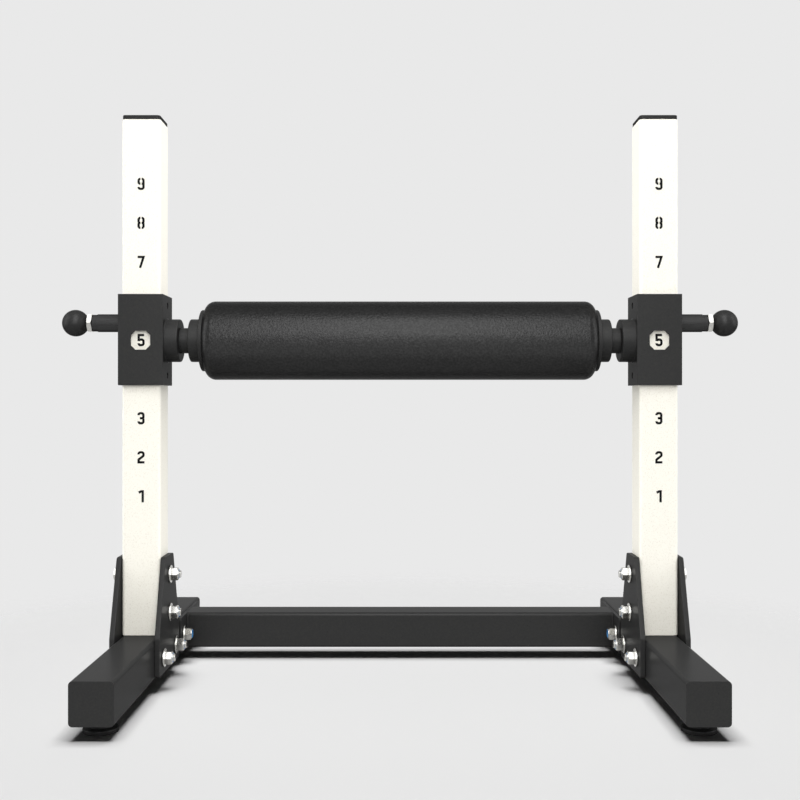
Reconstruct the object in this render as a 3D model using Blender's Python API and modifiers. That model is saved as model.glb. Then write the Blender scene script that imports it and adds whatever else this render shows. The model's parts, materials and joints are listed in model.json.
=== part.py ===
"""Single leg squat stand: a padded roller that slides up and down two uprights and is pinned at nine heights.

Metres, +Z up. The origin is on the floor, midway between the uprights and on their centre plane.
+X is the stand's right as seen from the front, and the front is -Y. Left and right pieces mirror in X.
The feature that takes the most skill is the height adjuster: the windowed sleeve with its liner and bored
boss, and the spring plunger whose pin, spring, barrel, jam nut and ball are separate pieces.
"""

import math

import bmesh
import bpy
from mathutils import Matrix, Vector

# Clearances and the number of sides of round pieces
TOUCH_GAP = 0.0003
RUNNING_GAP = 0.00025
BOLT_HOLE_GAP = 0.0005
ROUND_SIDES = 20
PIN_SIDES = 16
SHAFT_SIDES = 24
ROLLER_SIDES = 28
SMALL_SIDES = 10
CORNER_STEPS = 3

# Square tube of the frame
TUBE_SIDE = 0.060
TUBE_WALL = 0.003
TUBE_CORNER = 0.0055

# Feet, which run front to back
FOOT_LENGTH = 0.620
FOOT_END_PLATE = 0.005
FOOT_END_ROUND = 0.001

# Levelling feet under the foot tubes
LEVEL_HEIGHT = 0.0186
LEVEL_INSET = 0.0484
LEVEL_DISC_RADIUS = 0.024
LEVEL_DISC_THICKNESS = 0.0055
LEVEL_EDGE_ROUND = 0.0012
LEVEL_COLLAR_RADIUS = 0.0148
LEVEL_STUD_RADIUS = 0.005
LEVEL_STUD_LENGTH = 0.018
WELD_NUT_RADIUS = 0.0095
WELD_NUT_HEIGHT = 0.010

# Uprights and their caps
UPRIGHT_SPACING = 0.804
UPRIGHT_LENGTH = 0.8017
CAP_INSET = 0.0014
CAP_THICKNESS = 0.0065
CAP_EDGE_ROUND = 0.0022
CAP_PLUG_DEPTH = 0.016
CAP_PLUG_WALL = 0.0025

# Gusset plates that clamp each upright to its foot
GUSSET_THICKNESS = 0.008
GUSSET_TOP_WIDTH = 0.059
GUSSET_FOOT_WIDTH = 0.148
GUSSET_RISE = 0.1214
GUSSET_SHOULDER_RISE = 0.004
GUSSET_BOTTOM_INSET = 0.0048
GUSSET_TOP_ROUND = 0.007
GUSSET_SHOULDER_ROUND = 0.012
GUSSET_BOTTOM_ROUND = 0.004
GUSSET_FOOT_BOLT_INSET = 0.028
GUSSET_TOP_BOLT_DROP = 0.030
GUSSET_BOLT_PITCH = 0.060

# Cross member between the feet, set from their rear ends
CROSS_FROM_REAR_END = 0.123
FLANGE_THICKNESS = 0.005
FLANGE_WIDTH = 0.164
FLANGE_BOTTOM_INSET = 0.002
FLANGE_ROUND = 0.005
FLANGE_BOLT_INSET = 0.024
FLANGE_VENT_RADIUS = 0.010

# M12 bolts and locknuts
BOLT_RADIUS = 0.006
HEAD_FLATS = 0.019
HEAD_HEIGHT = 0.0075
WASHER_RADIUS = 0.014
WASHER_THICKNESS = 0.0025
NUT_HEIGHT = 0.012
NUT_COLLAR_HEIGHT = 0.0011
NUT_COLLAR_RADIUS = 0.0083
GUSSET_BOLT_STICKS_OUT = 0.0033
FLANGE_BOLT_FALLS_SHORT = 0.001
THREAD_END_CHAMFER = 0.001
HEX_CHAMFER = 0.0009

# Height positions
POSITIONS = 9
REST_POSITION = 5
POSITION_PITCH = 0.06065
ROLLER_AXIS_AT_REST = 0.5382

# Carriage sleeve and its liner
SLEEVE_SIDE = 0.070
SLEEVE_WALL = 0.003
SLEEVE_CORNER = 0.001
SLEEVE_INNER_CORNER = 0.0015
SLEEVE_HEIGHT = 0.1414
LINER_WALL = 0.0014
LINER_CORNER = 0.003
LINER_END_INSET = 0.0015
LINER_BUTTON_RADIUS = 0.0022
LINER_BUTTON_HEIGHT = 0.0022
LINER_BUTTON_INSET = 0.0157
WINDOW_WIDTH = 0.0312
WINDOW_HEIGHT = 0.0295
WINDOW_CORNER = 0.0065
WINDOW_DROP = 0.0008

# Boss on the sleeve that takes the axle
BOSS_RADIUS = 0.03375
BOSS_LENGTH = 0.0215
BOSS_EDGE_ROUND = 0.002
AXLE_SEAT_FLOOR = 0.0035
AXLE_RADIUS = 0.020
AXLE_WALL = 0.004

# Roller: core tube, end hubs with their bearings, and the foam pad
HUB_GAP_FROM_BOSS = 0.0155
HUB_NECK_RADIUS = 0.03375
HUB_NECK_LENGTH = 0.018
HUB_EDGE_ROUND = 0.002
HUB_DISC_RADIUS = 0.0483
HUB_DISC_THICKNESS = 0.0057
HUB_DISC_ROUND = 0.0015
HUB_SPIGOT_LENGTH = 0.020
HUB_LIP_THICKNESS = 0.002
HUB_LIP_RADIUS = 0.0215
CORE_RADIUS = 0.038
CORE_WALL = 0.003
BEARING_RADIUS = 0.026
BEARING_WIDTH = 0.007
BEARING_SHIELD_RECESS = 0.0006
BEARING_RACE_WIDTH = 0.0018
FOAM_RADIUS = 0.0618
FOAM_END_ROUND = 0.014
FOAM_ROUND_STEPS = 4

# Spring plunger on the sleeve's outer side, drawn clear of the upright at rest
PLUNGER_RISE = 0.0277
PIN_RADIUS = 0.006
PIN_TIP_CHAMFER = 0.0012
PIN_DRAWN_GAP = 0.0005
PIN_TRAVEL = 0.007
PIN_HOLE_GAP = 0.0004
PIN_SHOULDER_CLEARANCE = 0.0027
PIN_SHOULDER_RADIUS = 0.0087
PIN_SHOULDER_THICKNESS = 0.003
PIN_ROD_RADIUS = 0.005
PIN_SKIRT_RADIUS = 0.0132
PIN_SKIRT_OVERLAP = 0.003
PIN_STUD_RADIUS = 0.006
PIN_STUD_DEPTH_IN_BALL = 0.010
BARREL_LENGTH = 0.0394
BARREL_RADIUS = 0.0141
BARREL_BORE_RADIUS = 0.009
BARREL_END_WALL = 0.004
BARREL_EDGE_ROUND = 0.0006
JAM_NUT_FLATS = 0.027
JAM_NUT_THICKNESS = 0.0075
BALL_RADIUS = 0.021
BALL_FLAT_FROM_CENTRE = 0.0199
BALL_ARC_STEPS = 8
SPRING_WIRE_RADIUS = 0.0007
SPRING_COIL_RADIUS = 0.0069
SPRING_TURNS = 5
SPRING_POINTS_PER_TURN = 8

# Places worked out from the sizes above
SIDES = {"left": -1, "right": 1}
UPRIGHT_X = UPRIGHT_SPACING / 2
TUBE_HALF = TUBE_SIDE / 2
TUBE_HOLLOW = TUBE_SIDE - 2 * TUBE_WALL
FOOT_MID_Z = LEVEL_HEIGHT + TUBE_HALF
FOOT_TOP_Z = LEVEL_HEIGHT + TUBE_SIDE
UPRIGHT_BOTTOM_Z = FOOT_TOP_Z + TOUCH_GAP
UPRIGHT_TOP_Z = UPRIGHT_BOTTOM_Z + UPRIGHT_LENGTH
LEVEL_Y = FOOT_LENGTH / 2 - LEVEL_INSET
CROSS_SETBACK = FOOT_LENGTH / 2 - CROSS_FROM_REAR_END
SLEEVE_HALF = SLEEVE_SIDE / 2
BOSS_END_X = UPRIGHT_X - SLEEVE_HALF - BOSS_LENGTH
HUB_END_X = BOSS_END_X - HUB_GAP_FROM_BOSS
DISC_OUTER_X = HUB_END_X - HUB_NECK_LENGTH
DISC_INNER_X = DISC_OUTER_X - HUB_DISC_THICKNESS
FOAM_END_X = DISC_INNER_X - TOUCH_GAP
FLANGE_OUTER_X = UPRIGHT_X - TUBE_HALF - TOUCH_GAP
FLANGE_INNER_X = FLANGE_OUTER_X - FLANGE_THICKNESS
GUSSET_OUTER_FACE = TUBE_HALF + TOUCH_GAP + GUSSET_THICKNESS
LINER_HALF = SLEEVE_HALF - SLEEVE_WALL - TOUCH_GAP
GUSSET_UPPER_BOLT_RISE = GUSSET_RISE - GUSSET_TOP_BOLT_DROP
GUSSET_LOWER_BOLT_RISE = GUSSET_UPPER_BOLT_RISE - GUSSET_BOLT_PITCH
GUSSET_FOOT_BOLT_YS = [sign * (GUSSET_FOOT_WIDTH / 2 - GUSSET_FOOT_BOLT_INSET) for sign in (-1, 1)]
FLANGE_BOLT_YS = [sign * (FLANGE_WIDTH / 2 - FLANGE_BOLT_INSET) for sign in (-1, 1)]
AXLE_SEAT_DEPTH = BOSS_LENGTH - AXLE_SEAT_FLOOR
BUTTON_ZS = [sign * (SLEEVE_HEIGHT / 2 - LINER_BUTTON_INSET) for sign in (-1, 1)]
BOLT_HOLE_RADIUS = BOLT_RADIUS + BOLT_HOLE_GAP
PIN_HOLE_RADIUS = PIN_RADIUS + PIN_HOLE_GAP
PIN_Z = ROLLER_AXIS_AT_REST + PLUNGER_RISE
PIN_TIP = TUBE_HALF + PIN_DRAWN_GAP
BARREL_START = SLEEVE_HALF + TOUCH_GAP
BARREL_END = BARREL_START + BARREL_LENGTH
SKIRT_END = BARREL_END + TOUCH_GAP + PIN_TRAVEL
PIN_SHOULDER_START = BARREL_START + PIN_TRAVEL + PIN_SHOULDER_CLEARANCE
PIN_SHOULDER_END = PIN_SHOULDER_START + PIN_SHOULDER_THICKNESS
SKIRT_START = BARREL_END - PIN_SKIRT_OVERLAP
BARREL_POCKET_FLOOR = SKIRT_START - PIN_TRAVEL - TOUCH_GAP
BARREL_WALL_START = BARREL_POCKET_FLOOR - BARREL_END_WALL
BALL_FLAT = SKIRT_END + JAM_NUT_THICKNESS + 2 * TOUCH_GAP
BALL_CENTRE = BALL_FLAT + BALL_FLAT_FROM_CENTRE
ALONG_X = Matrix.Rotation(math.pi / 2, 4, "Y")

PARTS = bpy.data.collections.new("single_leg_squat_stand")
CUTTERS = bpy.data.collections.new("cutters")


def clear_scene():
    """Remove what the scene holds and link the two collections."""
    for obj in list(bpy.data.objects):
        bpy.data.objects.remove(obj, do_unlink=True)
    for collection in (PARTS, CUTTERS):
        bpy.context.scene.collection.children.link(collection)


def finish(name, colour, roughness, metallic):
    """A material of one colour, made the first time that its name is used."""
    material = bpy.data.materials.get(name)
    if material:
        return material
    material = bpy.data.materials.new(name)
    material.use_nodes = True
    shader = material.node_tree.nodes["Principled BSDF"]
    shader.inputs["Base Color"].default_value = (*colour, 1.0)
    shader.inputs["Roughness"].default_value = roughness
    shader.inputs["Metallic"].default_value = metallic
    return material


def black_powder_coat():
    return finish("black_powder_coat", (0.046, 0.046, 0.048), 0.55, 0.0)


def ivory_powder_coat():
    return finish("ivory_powder_coat", (0.86, 0.85, 0.78), 0.5, 0.0)


def zinc_plate():
    return finish("zinc_plate", (0.68, 0.68, 0.67), 0.32, 1.0)


def bare_steel():
    return finish("bare_steel", (0.45, 0.45, 0.46), 0.35, 1.0)


def black_plastic():
    return finish("black_plastic", (0.03, 0.03, 0.031), 0.45, 0.0)


def black_foam():
    return finish("black_foam", (0.032, 0.032, 0.033), 0.85, 0.0)


def pivot(name, location, parent=None):
    """An empty that carries one moving body, on its joint's axis."""
    empty = bpy.data.objects.new(name, None)
    empty.empty_display_size = 0.03
    PARTS.objects.link(empty)
    set_parent(empty, parent, location)
    return empty


def set_parent(obj, parent, location):
    """Place an object at a point of the scene, under an empty that isn't turned."""
    place = Vector(location)
    obj.parent = parent
    above = parent
    while above:
        place -= above.location
        above = above.parent
    obj.location = place


def block(size, corner=0.0, along=2, end_round=0.0, centre=(0, 0, 0), steps=CORNER_STEPS):
    """A bar whose long edges are rounded, and the edges round its ends if end_round is given."""
    bm = bmesh.new()
    bmesh.ops.create_cube(bm, size=1.0, matrix=Matrix.Diagonal((*size, 1.0)))
    if corner:
        lengthwise = [e for e in bm.edges if abs((e.verts[0].co - e.verts[1].co)[along]) > size[along] / 2]
        bmesh.ops.bevel(
            bm, geom=lengthwise, offset=corner, segments=steps, profile=0.5, affect="EDGES", material=-1
        )
    if end_round:
        rims = [e for e in bm.edges if abs((e.verts[0].co - e.verts[1].co)[along]) < size[along] / 2]
        bmesh.ops.bevel(bm, geom=rims, offset=end_round, segments=2, profile=0.5, affect="EDGES", material=-1)
    bmesh.ops.translate(bm, verts=bm.verts, vec=centre)
    return bm


def rod(radius, start, end, along=0, sides=ROUND_SIDES, at=(0, 0)):
    """A round bar along an axis, from start to end on that axis, at a point of the plane across it."""
    turn = (ALONG_X, Matrix.Rotation(math.pi / 2, 4, "X"), Matrix.Identity(4))[along]
    middle = list(at)
    middle.insert(along, (start + end) / 2)
    bm = bmesh.new()
    bmesh.ops.create_cone(
        bm, cap_ends=True, segments=sides, radius1=radius, radius2=radius, depth=abs(end - start),
        matrix=Matrix.Translation(middle) @ turn,
    )
    return bm


def mesh_from(name, *shapes):
    """One mesh that holds all the shapes given."""
    mesh = bpy.data.meshes.new(name)
    gathered = bmesh.new()
    for shape in shapes:
        shape.to_mesh(mesh)
        shape.free()
        gathered.from_mesh(mesh)
    gathered.to_mesh(mesh)
    gathered.free()
    return mesh


def part(name, mesh, material, parent=None, location=(0, 0, 0)):
    """A named piece of the stand."""
    obj = bpy.data.objects.new(name, mesh)
    PARTS.objects.link(obj)
    set_parent(obj, parent, location)
    if not obj.data.materials:
        obj.data.materials.append(material)
    return obj


def operand(target, operation, *shapes):
    """Add a Boolean to a piece, with the shapes given in the piece's own coordinates."""
    name = f"{target.name}_{operation.lower()}_{len(target.modifiers)}"
    obj = bpy.data.objects.new(name, mesh_from(name, *shapes))
    CUTTERS.objects.link(obj)
    obj.parent = target
    obj.hide_render = True
    obj.display_type = "WIRE"
    boolean = target.modifiers.new(operation.lower(), "BOOLEAN")
    boolean.operation = operation
    boolean.object = obj


def cut(target, *shapes):
    operand(target, "DIFFERENCE", *shapes)


def fuse(target, *shapes):
    operand(target, "UNION", *shapes)


def settle(obj):
    """Turn the piece's modifiers into its mesh and shade it by angle."""
    bpy.context.view_layer.update()
    graph = bpy.context.evaluated_depsgraph_get()
    made = bpy.data.meshes.new_from_object(obj.evaluated_get(graph))
    obj.modifiers.clear()
    obj.data = made
    made.shade_smooth()
    made.set_sharp_from_angle(angle=math.radians(30))
    return obj


def turned(name, profile, material, sides, parent, location, outward=0, closed=False):
    """A turned piece: a profile of (radius, height) that runs down its outer side, turned about +Z.

    outward is 0 to leave the axis along +Z, or 1 or -1 to lay the piece's top towards +X or -X.
    closed joins the profile's ends, for a ring.
    """
    bm = bmesh.new()
    points = [bm.verts.new((radius, 0, height)) for radius, height in profile]
    for first, second in zip(points, points[1:]):
        bm.edges.new((first, second))
    if closed:
        bm.edges.new((points[-1], points[0]))
    obj = part(name, mesh_from(name, bm), material, parent, location)
    screw = obj.modifiers.new("turn", "SCREW")
    screw.angle = 2 * math.pi
    screw.steps = sides
    screw.render_steps = sides
    screw.use_merge_vertices = True
    screw.merge_threshold = 0.00001
    obj.rotation_euler = (0, outward * math.pi / 2, 0)
    return obj


def arc(centre_radius, centre_height, radius, start, end, steps):
    """Profile points along an arc; angles in degrees, 0 is outwards and 90 is up."""
    points = []
    for step in range(steps + 1):
        angle = math.radians(start + (end - start) * step / steps)
        points.append((centre_radius + radius * math.cos(angle), centre_height + radius * math.sin(angle)))
    return points


def rounded_outline(corners, radii, steps):
    """The points of a closed outline whose corners are rounded, each with its own radius."""
    points = []
    for index, corner in enumerate(corners):
        here = Vector(corner)
        back = (Vector(corners[index - 1]) - here).normalized()
        ahead = (Vector(corners[(index + 1) % len(corners)]) - here).normalized()
        half = back.angle(ahead) / 2
        radius = radii[index]
        centre = here + (back + ahead).normalized() * radius / math.sin(half)
        first = here + back * radius / math.tan(half) - centre
        last = here + ahead * radius / math.tan(half) - centre
        start = math.atan2(first.y, first.x)
        sweep = math.remainder(math.atan2(last.y, last.x) - start, 2 * math.pi)
        for step in range(steps + 1):
            angle = start + sweep * step / steps
            points.append((centre.x + radius * math.cos(angle), centre.y + radius * math.sin(angle)))
    return points


def curve_mesh(name, points, flat_thickness=0.0, wire_radius=0.0):
    """The mesh of a filled flat outline, or of a round wire, with its caps welded."""
    curve = bpy.data.curves.new(name, "CURVE")
    spline = curve.splines.new("POLY")
    spline.points.add(len(points) - 1)
    for place, point in zip(spline.points, points):
        place.co = (*point, 0.0, 1.0) if len(point) == 2 else (*point, 1.0)
    if flat_thickness:
        curve.dimensions = "2D"
        curve.fill_mode = "BOTH"
        curve.extrude = flat_thickness / 2
        spline.use_cyclic_u = True
    else:
        curve.dimensions = "3D"
        curve.bevel_depth = wire_radius
        curve.bevel_resolution = 1
        curve.use_fill_caps = True
    guide = bpy.data.objects.new(name, curve)
    CUTTERS.objects.link(guide)
    bpy.context.view_layer.update()
    graph = bpy.context.evaluated_depsgraph_get()
    mesh = bpy.data.meshes.new_from_object(guide.evaluated_get(graph))
    bpy.data.objects.remove(guide, do_unlink=True)
    bm = bmesh.new()
    bm.from_mesh(mesh)
    bmesh.ops.remove_doubles(bm, verts=bm.verts, dist=0.00001)
    bmesh.ops.recalc_face_normals(bm, faces=bm.faces)
    bm.to_mesh(mesh)
    bm.free()
    mesh.name = name
    return mesh


def foot_tube(side, sign, parent):
    """Foot tube with welded end plates, bolt holes and weld nuts for the levelling feet."""
    hollow_length = FOOT_LENGTH - 2 * FOOT_END_PLATE
    size = (TUBE_SIDE, FOOT_LENGTH, TUBE_SIDE)
    tube = part(
        f"{side}_foot_tube", mesh_from("foot", block(size, TUBE_CORNER, 1, FOOT_END_ROUND)),
        black_powder_coat(), parent, (sign * UPRIGHT_X, 0, FOOT_MID_Z),
    )
    cut(tube, block((TUBE_HOLLOW, hollow_length, TUBE_HOLLOW), TUBE_CORNER - TUBE_WALL, 1, steps=1))
    floor = -TUBE_HALF + TUBE_WALL / 2
    nut_top = -TUBE_HALF + TUBE_WALL + WELD_NUT_HEIGHT
    fuse(tube, *[rod(WELD_NUT_RADIUS, floor, nut_top, 2, SMALL_SIDES, (0, y)) for y in (-LEVEL_Y, LEVEL_Y)])
    bolt_ys = GUSSET_FOOT_BOLT_YS + [CROSS_SETBACK + y for y in FLANGE_BOLT_YS]
    holes = [rod(BOLT_HOLE_RADIUS, -TUBE_SIDE, TUBE_SIDE, 0, SMALL_SIDES, (y, 0)) for y in bolt_ys]
    stud_bore = LEVEL_STUD_RADIUS + BOLT_HOLE_GAP
    for y in (-LEVEL_Y, LEVEL_Y):
        holes.append(rod(stud_bore, -TUBE_SIDE, nut_top + TUBE_WALL, 2, SMALL_SIDES, (0, y)))
    cut(tube, *holes)
    return settle(tube)


def levelling_foot(name, parent, x, y):
    """Moulded levelling foot: a flat sole, a collar that stops under the tube, and a stud."""
    collar_top = LEVEL_HEIGHT - TOUCH_GAP
    stud_top = LEVEL_HEIGHT + LEVEL_STUD_LENGTH
    profile = [(0, stud_top), (LEVEL_STUD_RADIUS, stud_top)]
    profile += [(LEVEL_STUD_RADIUS, collar_top), (LEVEL_COLLAR_RADIUS, collar_top)]
    profile += [(LEVEL_COLLAR_RADIUS, LEVEL_DISC_THICKNESS)]
    rim_centre = LEVEL_DISC_RADIUS - LEVEL_EDGE_ROUND
    profile += arc(rim_centre, LEVEL_DISC_THICKNESS - LEVEL_EDGE_ROUND, LEVEL_EDGE_ROUND, 90, 0, 2)
    profile += [(LEVEL_DISC_RADIUS, 0), (0, 0)]
    return settle(turned(name, profile, black_plastic(), ROUND_SIDES, parent, (x, y, 0)))


def upright(side, sign, parent):
    """Upright tube with its gusset bolt holes and the selector holes in its outer wall."""
    size = (TUBE_SIDE, TUBE_SIDE, UPRIGHT_LENGTH)
    tube = part(
        f"{side}_upright", mesh_from("upright", block(size, TUBE_CORNER)),
        ivory_powder_coat(), parent, (sign * UPRIGHT_X, 0, UPRIGHT_BOTTOM_Z + UPRIGHT_LENGTH / 2),
    )
    cut(tube, block((TUBE_HOLLOW, TUBE_HOLLOW, 2 * UPRIGHT_LENGTH), TUBE_CORNER - TUBE_WALL, steps=1))
    middle = tube.location.z
    holes = []
    for rise in (GUSSET_LOWER_BOLT_RISE, GUSSET_UPPER_BOLT_RISE):
        height = FOOT_TOP_Z + rise - middle
        holes.append(rod(BOLT_HOLE_RADIUS, -TUBE_SIDE, TUBE_SIDE, 0, SMALL_SIDES, (0, height)))
    for position in range(1, POSITIONS + 1):
        height = PIN_Z + (position - REST_POSITION) * POSITION_PITCH - middle
        inner, outer = sign * (TUBE_HALF - 2 * TUBE_WALL), sign * (TUBE_HALF + TUBE_WALL)
        holes.append(rod(PIN_HOLE_RADIUS, inner, outer, 0, SMALL_SIDES, (0, height)))
    cut(tube, *holes)
    return settle(tube)


def upright_cap(side, sign, parent):
    """Moulded cap whose hollow plug fits in the tube."""
    top = TUBE_SIDE - 2 * CAP_INSET
    plug = TUBE_HOLLOW - 2 * TOUCH_GAP
    plug_hollow = plug - 2 * CAP_PLUG_WALL
    plate = block((top, top, CAP_THICKNESS), TUBE_CORNER - CAP_INSET / 2, 2, centre=(0, 0, CAP_THICKNESS / 2))
    rim = [e for e in plate.edges if min(v.co.z for v in e.verts) > CAP_THICKNESS / 2]
    bmesh.ops.bevel(
        plate, geom=rim, offset=CAP_EDGE_ROUND, segments=2, profile=0.5, affect="EDGES", material=-1
    )
    cap = part(
        f"{side}_upright_cap", mesh_from("cap", plate), black_plastic(), parent,
        (sign * UPRIGHT_X, 0, UPRIGHT_TOP_Z + TOUCH_GAP),
    )
    plug_top = CAP_THICKNESS / 2
    plug_height = CAP_PLUG_DEPTH + plug_top
    plug_centre = (0, 0, plug_top - plug_height / 2)
    fuse(cap, block((plug, plug, plug_height), TUBE_CORNER - TUBE_WALL, centre=plug_centre, steps=1))
    cut(cap, block((plug_hollow, plug_hollow, 2 * CAP_PLUG_DEPTH), centre=(0, 0, -CAP_PLUG_DEPTH)))
    return settle(cap)


def gusset_outline():
    """The plate's outline as (y, z), z counted from the foot's top."""
    shoulder = GUSSET_FOOT_WIDTH / 2
    top = GUSSET_TOP_WIDTH / 2
    bottom = GUSSET_BOTTOM_INSET - TUBE_SIDE
    right = [(shoulder, bottom), (shoulder, GUSSET_SHOULDER_RISE), (top, GUSSET_RISE)]
    left = [(-y, z) for y, z in reversed(right)]
    radii = [GUSSET_BOTTOM_ROUND, GUSSET_SHOULDER_ROUND, GUSSET_TOP_ROUND]
    return rounded_outline(right + left, radii + radii[::-1], CORNER_STEPS)


def gusset_plates(side, sign, parent):
    """The outer and inner plates on one side, which share a mesh."""
    mesh = curve_mesh("gusset", gusset_outline(), flat_thickness=GUSSET_THICKNESS)
    stand_up = Matrix(((0, 0, 1, 0), (1, 0, 0, 0), (0, 1, 0, 0), (0, 0, 0, 1)))
    mesh.transform(stand_up)
    reach = TUBE_HALF + TOUCH_GAP + GUSSET_THICKNESS / 2
    outer = part(
        f"{side}_outer_gusset", mesh, black_powder_coat(), parent,
        (sign * (UPRIGHT_X + reach), 0, FOOT_TOP_Z),
    )
    places = [(0, GUSSET_LOWER_BOLT_RISE), (0, GUSSET_UPPER_BOLT_RISE)]
    places += [(y, -TUBE_HALF) for y in GUSSET_FOOT_BOLT_YS]
    through = GUSSET_THICKNESS
    cut(outer, *[rod(BOLT_HOLE_RADIUS, -through, through, 0, SMALL_SIDES, place) for place in places])
    settle(outer)
    part(
        f"{side}_inner_gusset", outer.data, black_powder_coat(), parent,
        (sign * (UPRIGHT_X - reach), 0, FOOT_TOP_Z),
    )


def cross_member(parent):
    """Cross tube welded between two bolting flanges, with a vent hole behind each weld."""
    span = 2 * FLANGE_INNER_X + FLANGE_THICKNESS
    flange_height = TUBE_SIDE - FLANGE_BOTTOM_INSET
    beam = part(
        "cross_member", mesh_from("cross_member", block((span, TUBE_SIDE, TUBE_SIDE), TUBE_CORNER, 0)),
        black_powder_coat(), parent, (0, CROSS_SETBACK, FOOT_MID_Z),
    )
    flanges = []
    for sign in SIDES.values():
        centre = (sign * (FLANGE_INNER_X + FLANGE_THICKNESS / 2), 0, FLANGE_BOTTOM_INSET / 2)
        flanges.append(block((FLANGE_THICKNESS, FLANGE_WIDTH, flange_height), FLANGE_ROUND, 0, centre=centre))
    fuse(beam, *flanges)
    cut(beam, block((2 * FLANGE_INNER_X, TUBE_HOLLOW, TUBE_HOLLOW), TUBE_CORNER - TUBE_WALL, 0, steps=1))
    holes = [rod(FLANGE_VENT_RADIUS, -UPRIGHT_SPACING, UPRIGHT_SPACING, 0, SMALL_SIDES)]
    for y in FLANGE_BOLT_YS:
        for sign in SIDES.values():
            inner, outer = sign * (FLANGE_INNER_X - FLANGE_THICKNESS), sign * UPRIGHT_X
            holes.append(rod(BOLT_HOLE_RADIUS, inner, outer, 0, SMALL_SIDES, (y, 0)))
    cut(beam, *holes)
    return settle(beam)


def hexagon(flats, start, end):
    """A hexagon along X, sized across its flats, with a corner towards the front."""
    return rod(flats / math.sqrt(3), start, end, 0, 6)


def bolt_mesh(length):
    """A hexagon bolt with its washer, the shank towards -X; x is 0 on the washer's seat."""
    washer = rod(WASHER_RADIUS, 0, WASHER_THICKNESS, 0, SMALL_SIDES)
    bolt = part("bolt_blank", mesh_from("bolt", washer), zinc_plate())
    head_start, head_end = WASHER_THICKNESS / 2, WASHER_THICKNESS + HEAD_HEIGHT
    head = hexagon(HEAD_FLATS, head_start, head_end)
    outer_rim = [e for e in head.edges if min(v.co.x for v in e.verts) > head_end - HEX_CHAMFER]
    bmesh.ops.bevel(
        head, geom=outer_rim, offset=HEX_CHAMFER, segments=1, profile=0.5, affect="EDGES", material=-1
    )
    fuse(bolt, head)
    shank = rod(BOLT_RADIUS, -length, WASHER_THICKNESS / 2, 0, SMALL_SIDES)
    thread_rim = [e for e in shank.edges if max(v.co.x for v in e.verts) < THREAD_END_CHAMFER - length]
    bmesh.ops.bevel(
        shank, geom=thread_rim, offset=THREAD_END_CHAMFER, segments=1, profile=0.5,
        affect="EDGES", material=-1,
    )
    fuse(bolt, shank)
    settle(bolt)
    mesh = bolt.data
    bpy.data.objects.remove(bolt, do_unlink=True)
    return mesh


def locknut_mesh():
    """A locknut with its washer; x is 0 on the washer's seat and the collar is towards -X."""
    washer = rod(WASHER_RADIUS, -WASHER_THICKNESS, 0, 0, SMALL_SIDES)
    nut = part("nut_blank", mesh_from("nut", washer), zinc_plate())
    hex_start = -WASHER_THICKNESS / 2
    hex_end = NUT_COLLAR_HEIGHT - WASHER_THICKNESS - NUT_HEIGHT
    body = hexagon(HEAD_FLATS, hex_start, hex_end)
    outer_rim = [e for e in body.edges if max(v.co.x for v in e.verts) < hex_end + HEX_CHAMFER]
    bmesh.ops.bevel(
        body, geom=outer_rim, offset=HEX_CHAMFER, segments=1, profile=0.5, affect="EDGES", material=-1
    )
    fuse(nut, body)
    fuse(nut, rod(NUT_COLLAR_RADIUS, hex_end + WASHER_THICKNESS, hex_end - NUT_COLLAR_HEIGHT, 0, SMALL_SIDES))
    bore = BOLT_RADIUS + BOLT_HOLE_GAP
    cut(nut, rod(bore, WASHER_THICKNESS, hex_end - 2 * NUT_COLLAR_HEIGHT, 0, SMALL_SIDES))
    settle(nut)
    mesh = nut.data
    bpy.data.objects.remove(nut, do_unlink=True)
    return mesh


def bolted_joints(side, sign, parent):
    """The six bolts and locknuts of one side: heads outside, nuts inside."""
    nut_reach = WASHER_THICKNESS + NUT_HEIGHT
    grip_end = FLANGE_INNER_X - TOUCH_GAP
    seat_out = UPRIGHT_X + GUSSET_OUTER_FACE + TOUCH_GAP
    seat_in = UPRIGHT_X - GUSSET_OUTER_FACE - TOUCH_GAP
    flange_seat_out = UPRIGHT_X + TUBE_HALF + TOUCH_GAP
    long_bolt = bolt_mesh(seat_out - seat_in + nut_reach + GUSSET_BOLT_STICKS_OUT)
    short_bolt = bolt_mesh(flange_seat_out - grip_end + nut_reach - FLANGE_BOLT_FALLS_SHORT)
    locknut = locknut_mesh()
    joints = [
        ("upper_gusset", 0, FOOT_TOP_Z + GUSSET_UPPER_BOLT_RISE, long_bolt, seat_out, seat_in),
        ("lower_gusset", 0, FOOT_TOP_Z + GUSSET_LOWER_BOLT_RISE, long_bolt, seat_out, seat_in),
    ]
    for end, foot_y, flange_y in zip(("front", "rear"), GUSSET_FOOT_BOLT_YS, FLANGE_BOLT_YS):
        joints.append((f"{end}_foot", foot_y, FOOT_MID_Z, long_bolt, seat_out, seat_in))
        joints.append(
            (f"{end}_flange", CROSS_SETBACK + flange_y, FOOT_MID_Z, short_bolt, flange_seat_out, grip_end)
        )
    for word, y, z, bolt, out_x, in_x in joints:
        screw = part(f"{side}_{word}_bolt", bolt, zinc_plate(), parent, (sign * out_x, y, z))
        nut = part(f"{side}_{word}_nut", locknut, zinc_plate(), parent, (sign * in_x, y, z))
        screw.rotation_euler = nut.rotation_euler = (0, 0, 0 if sign > 0 else math.pi)


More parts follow.
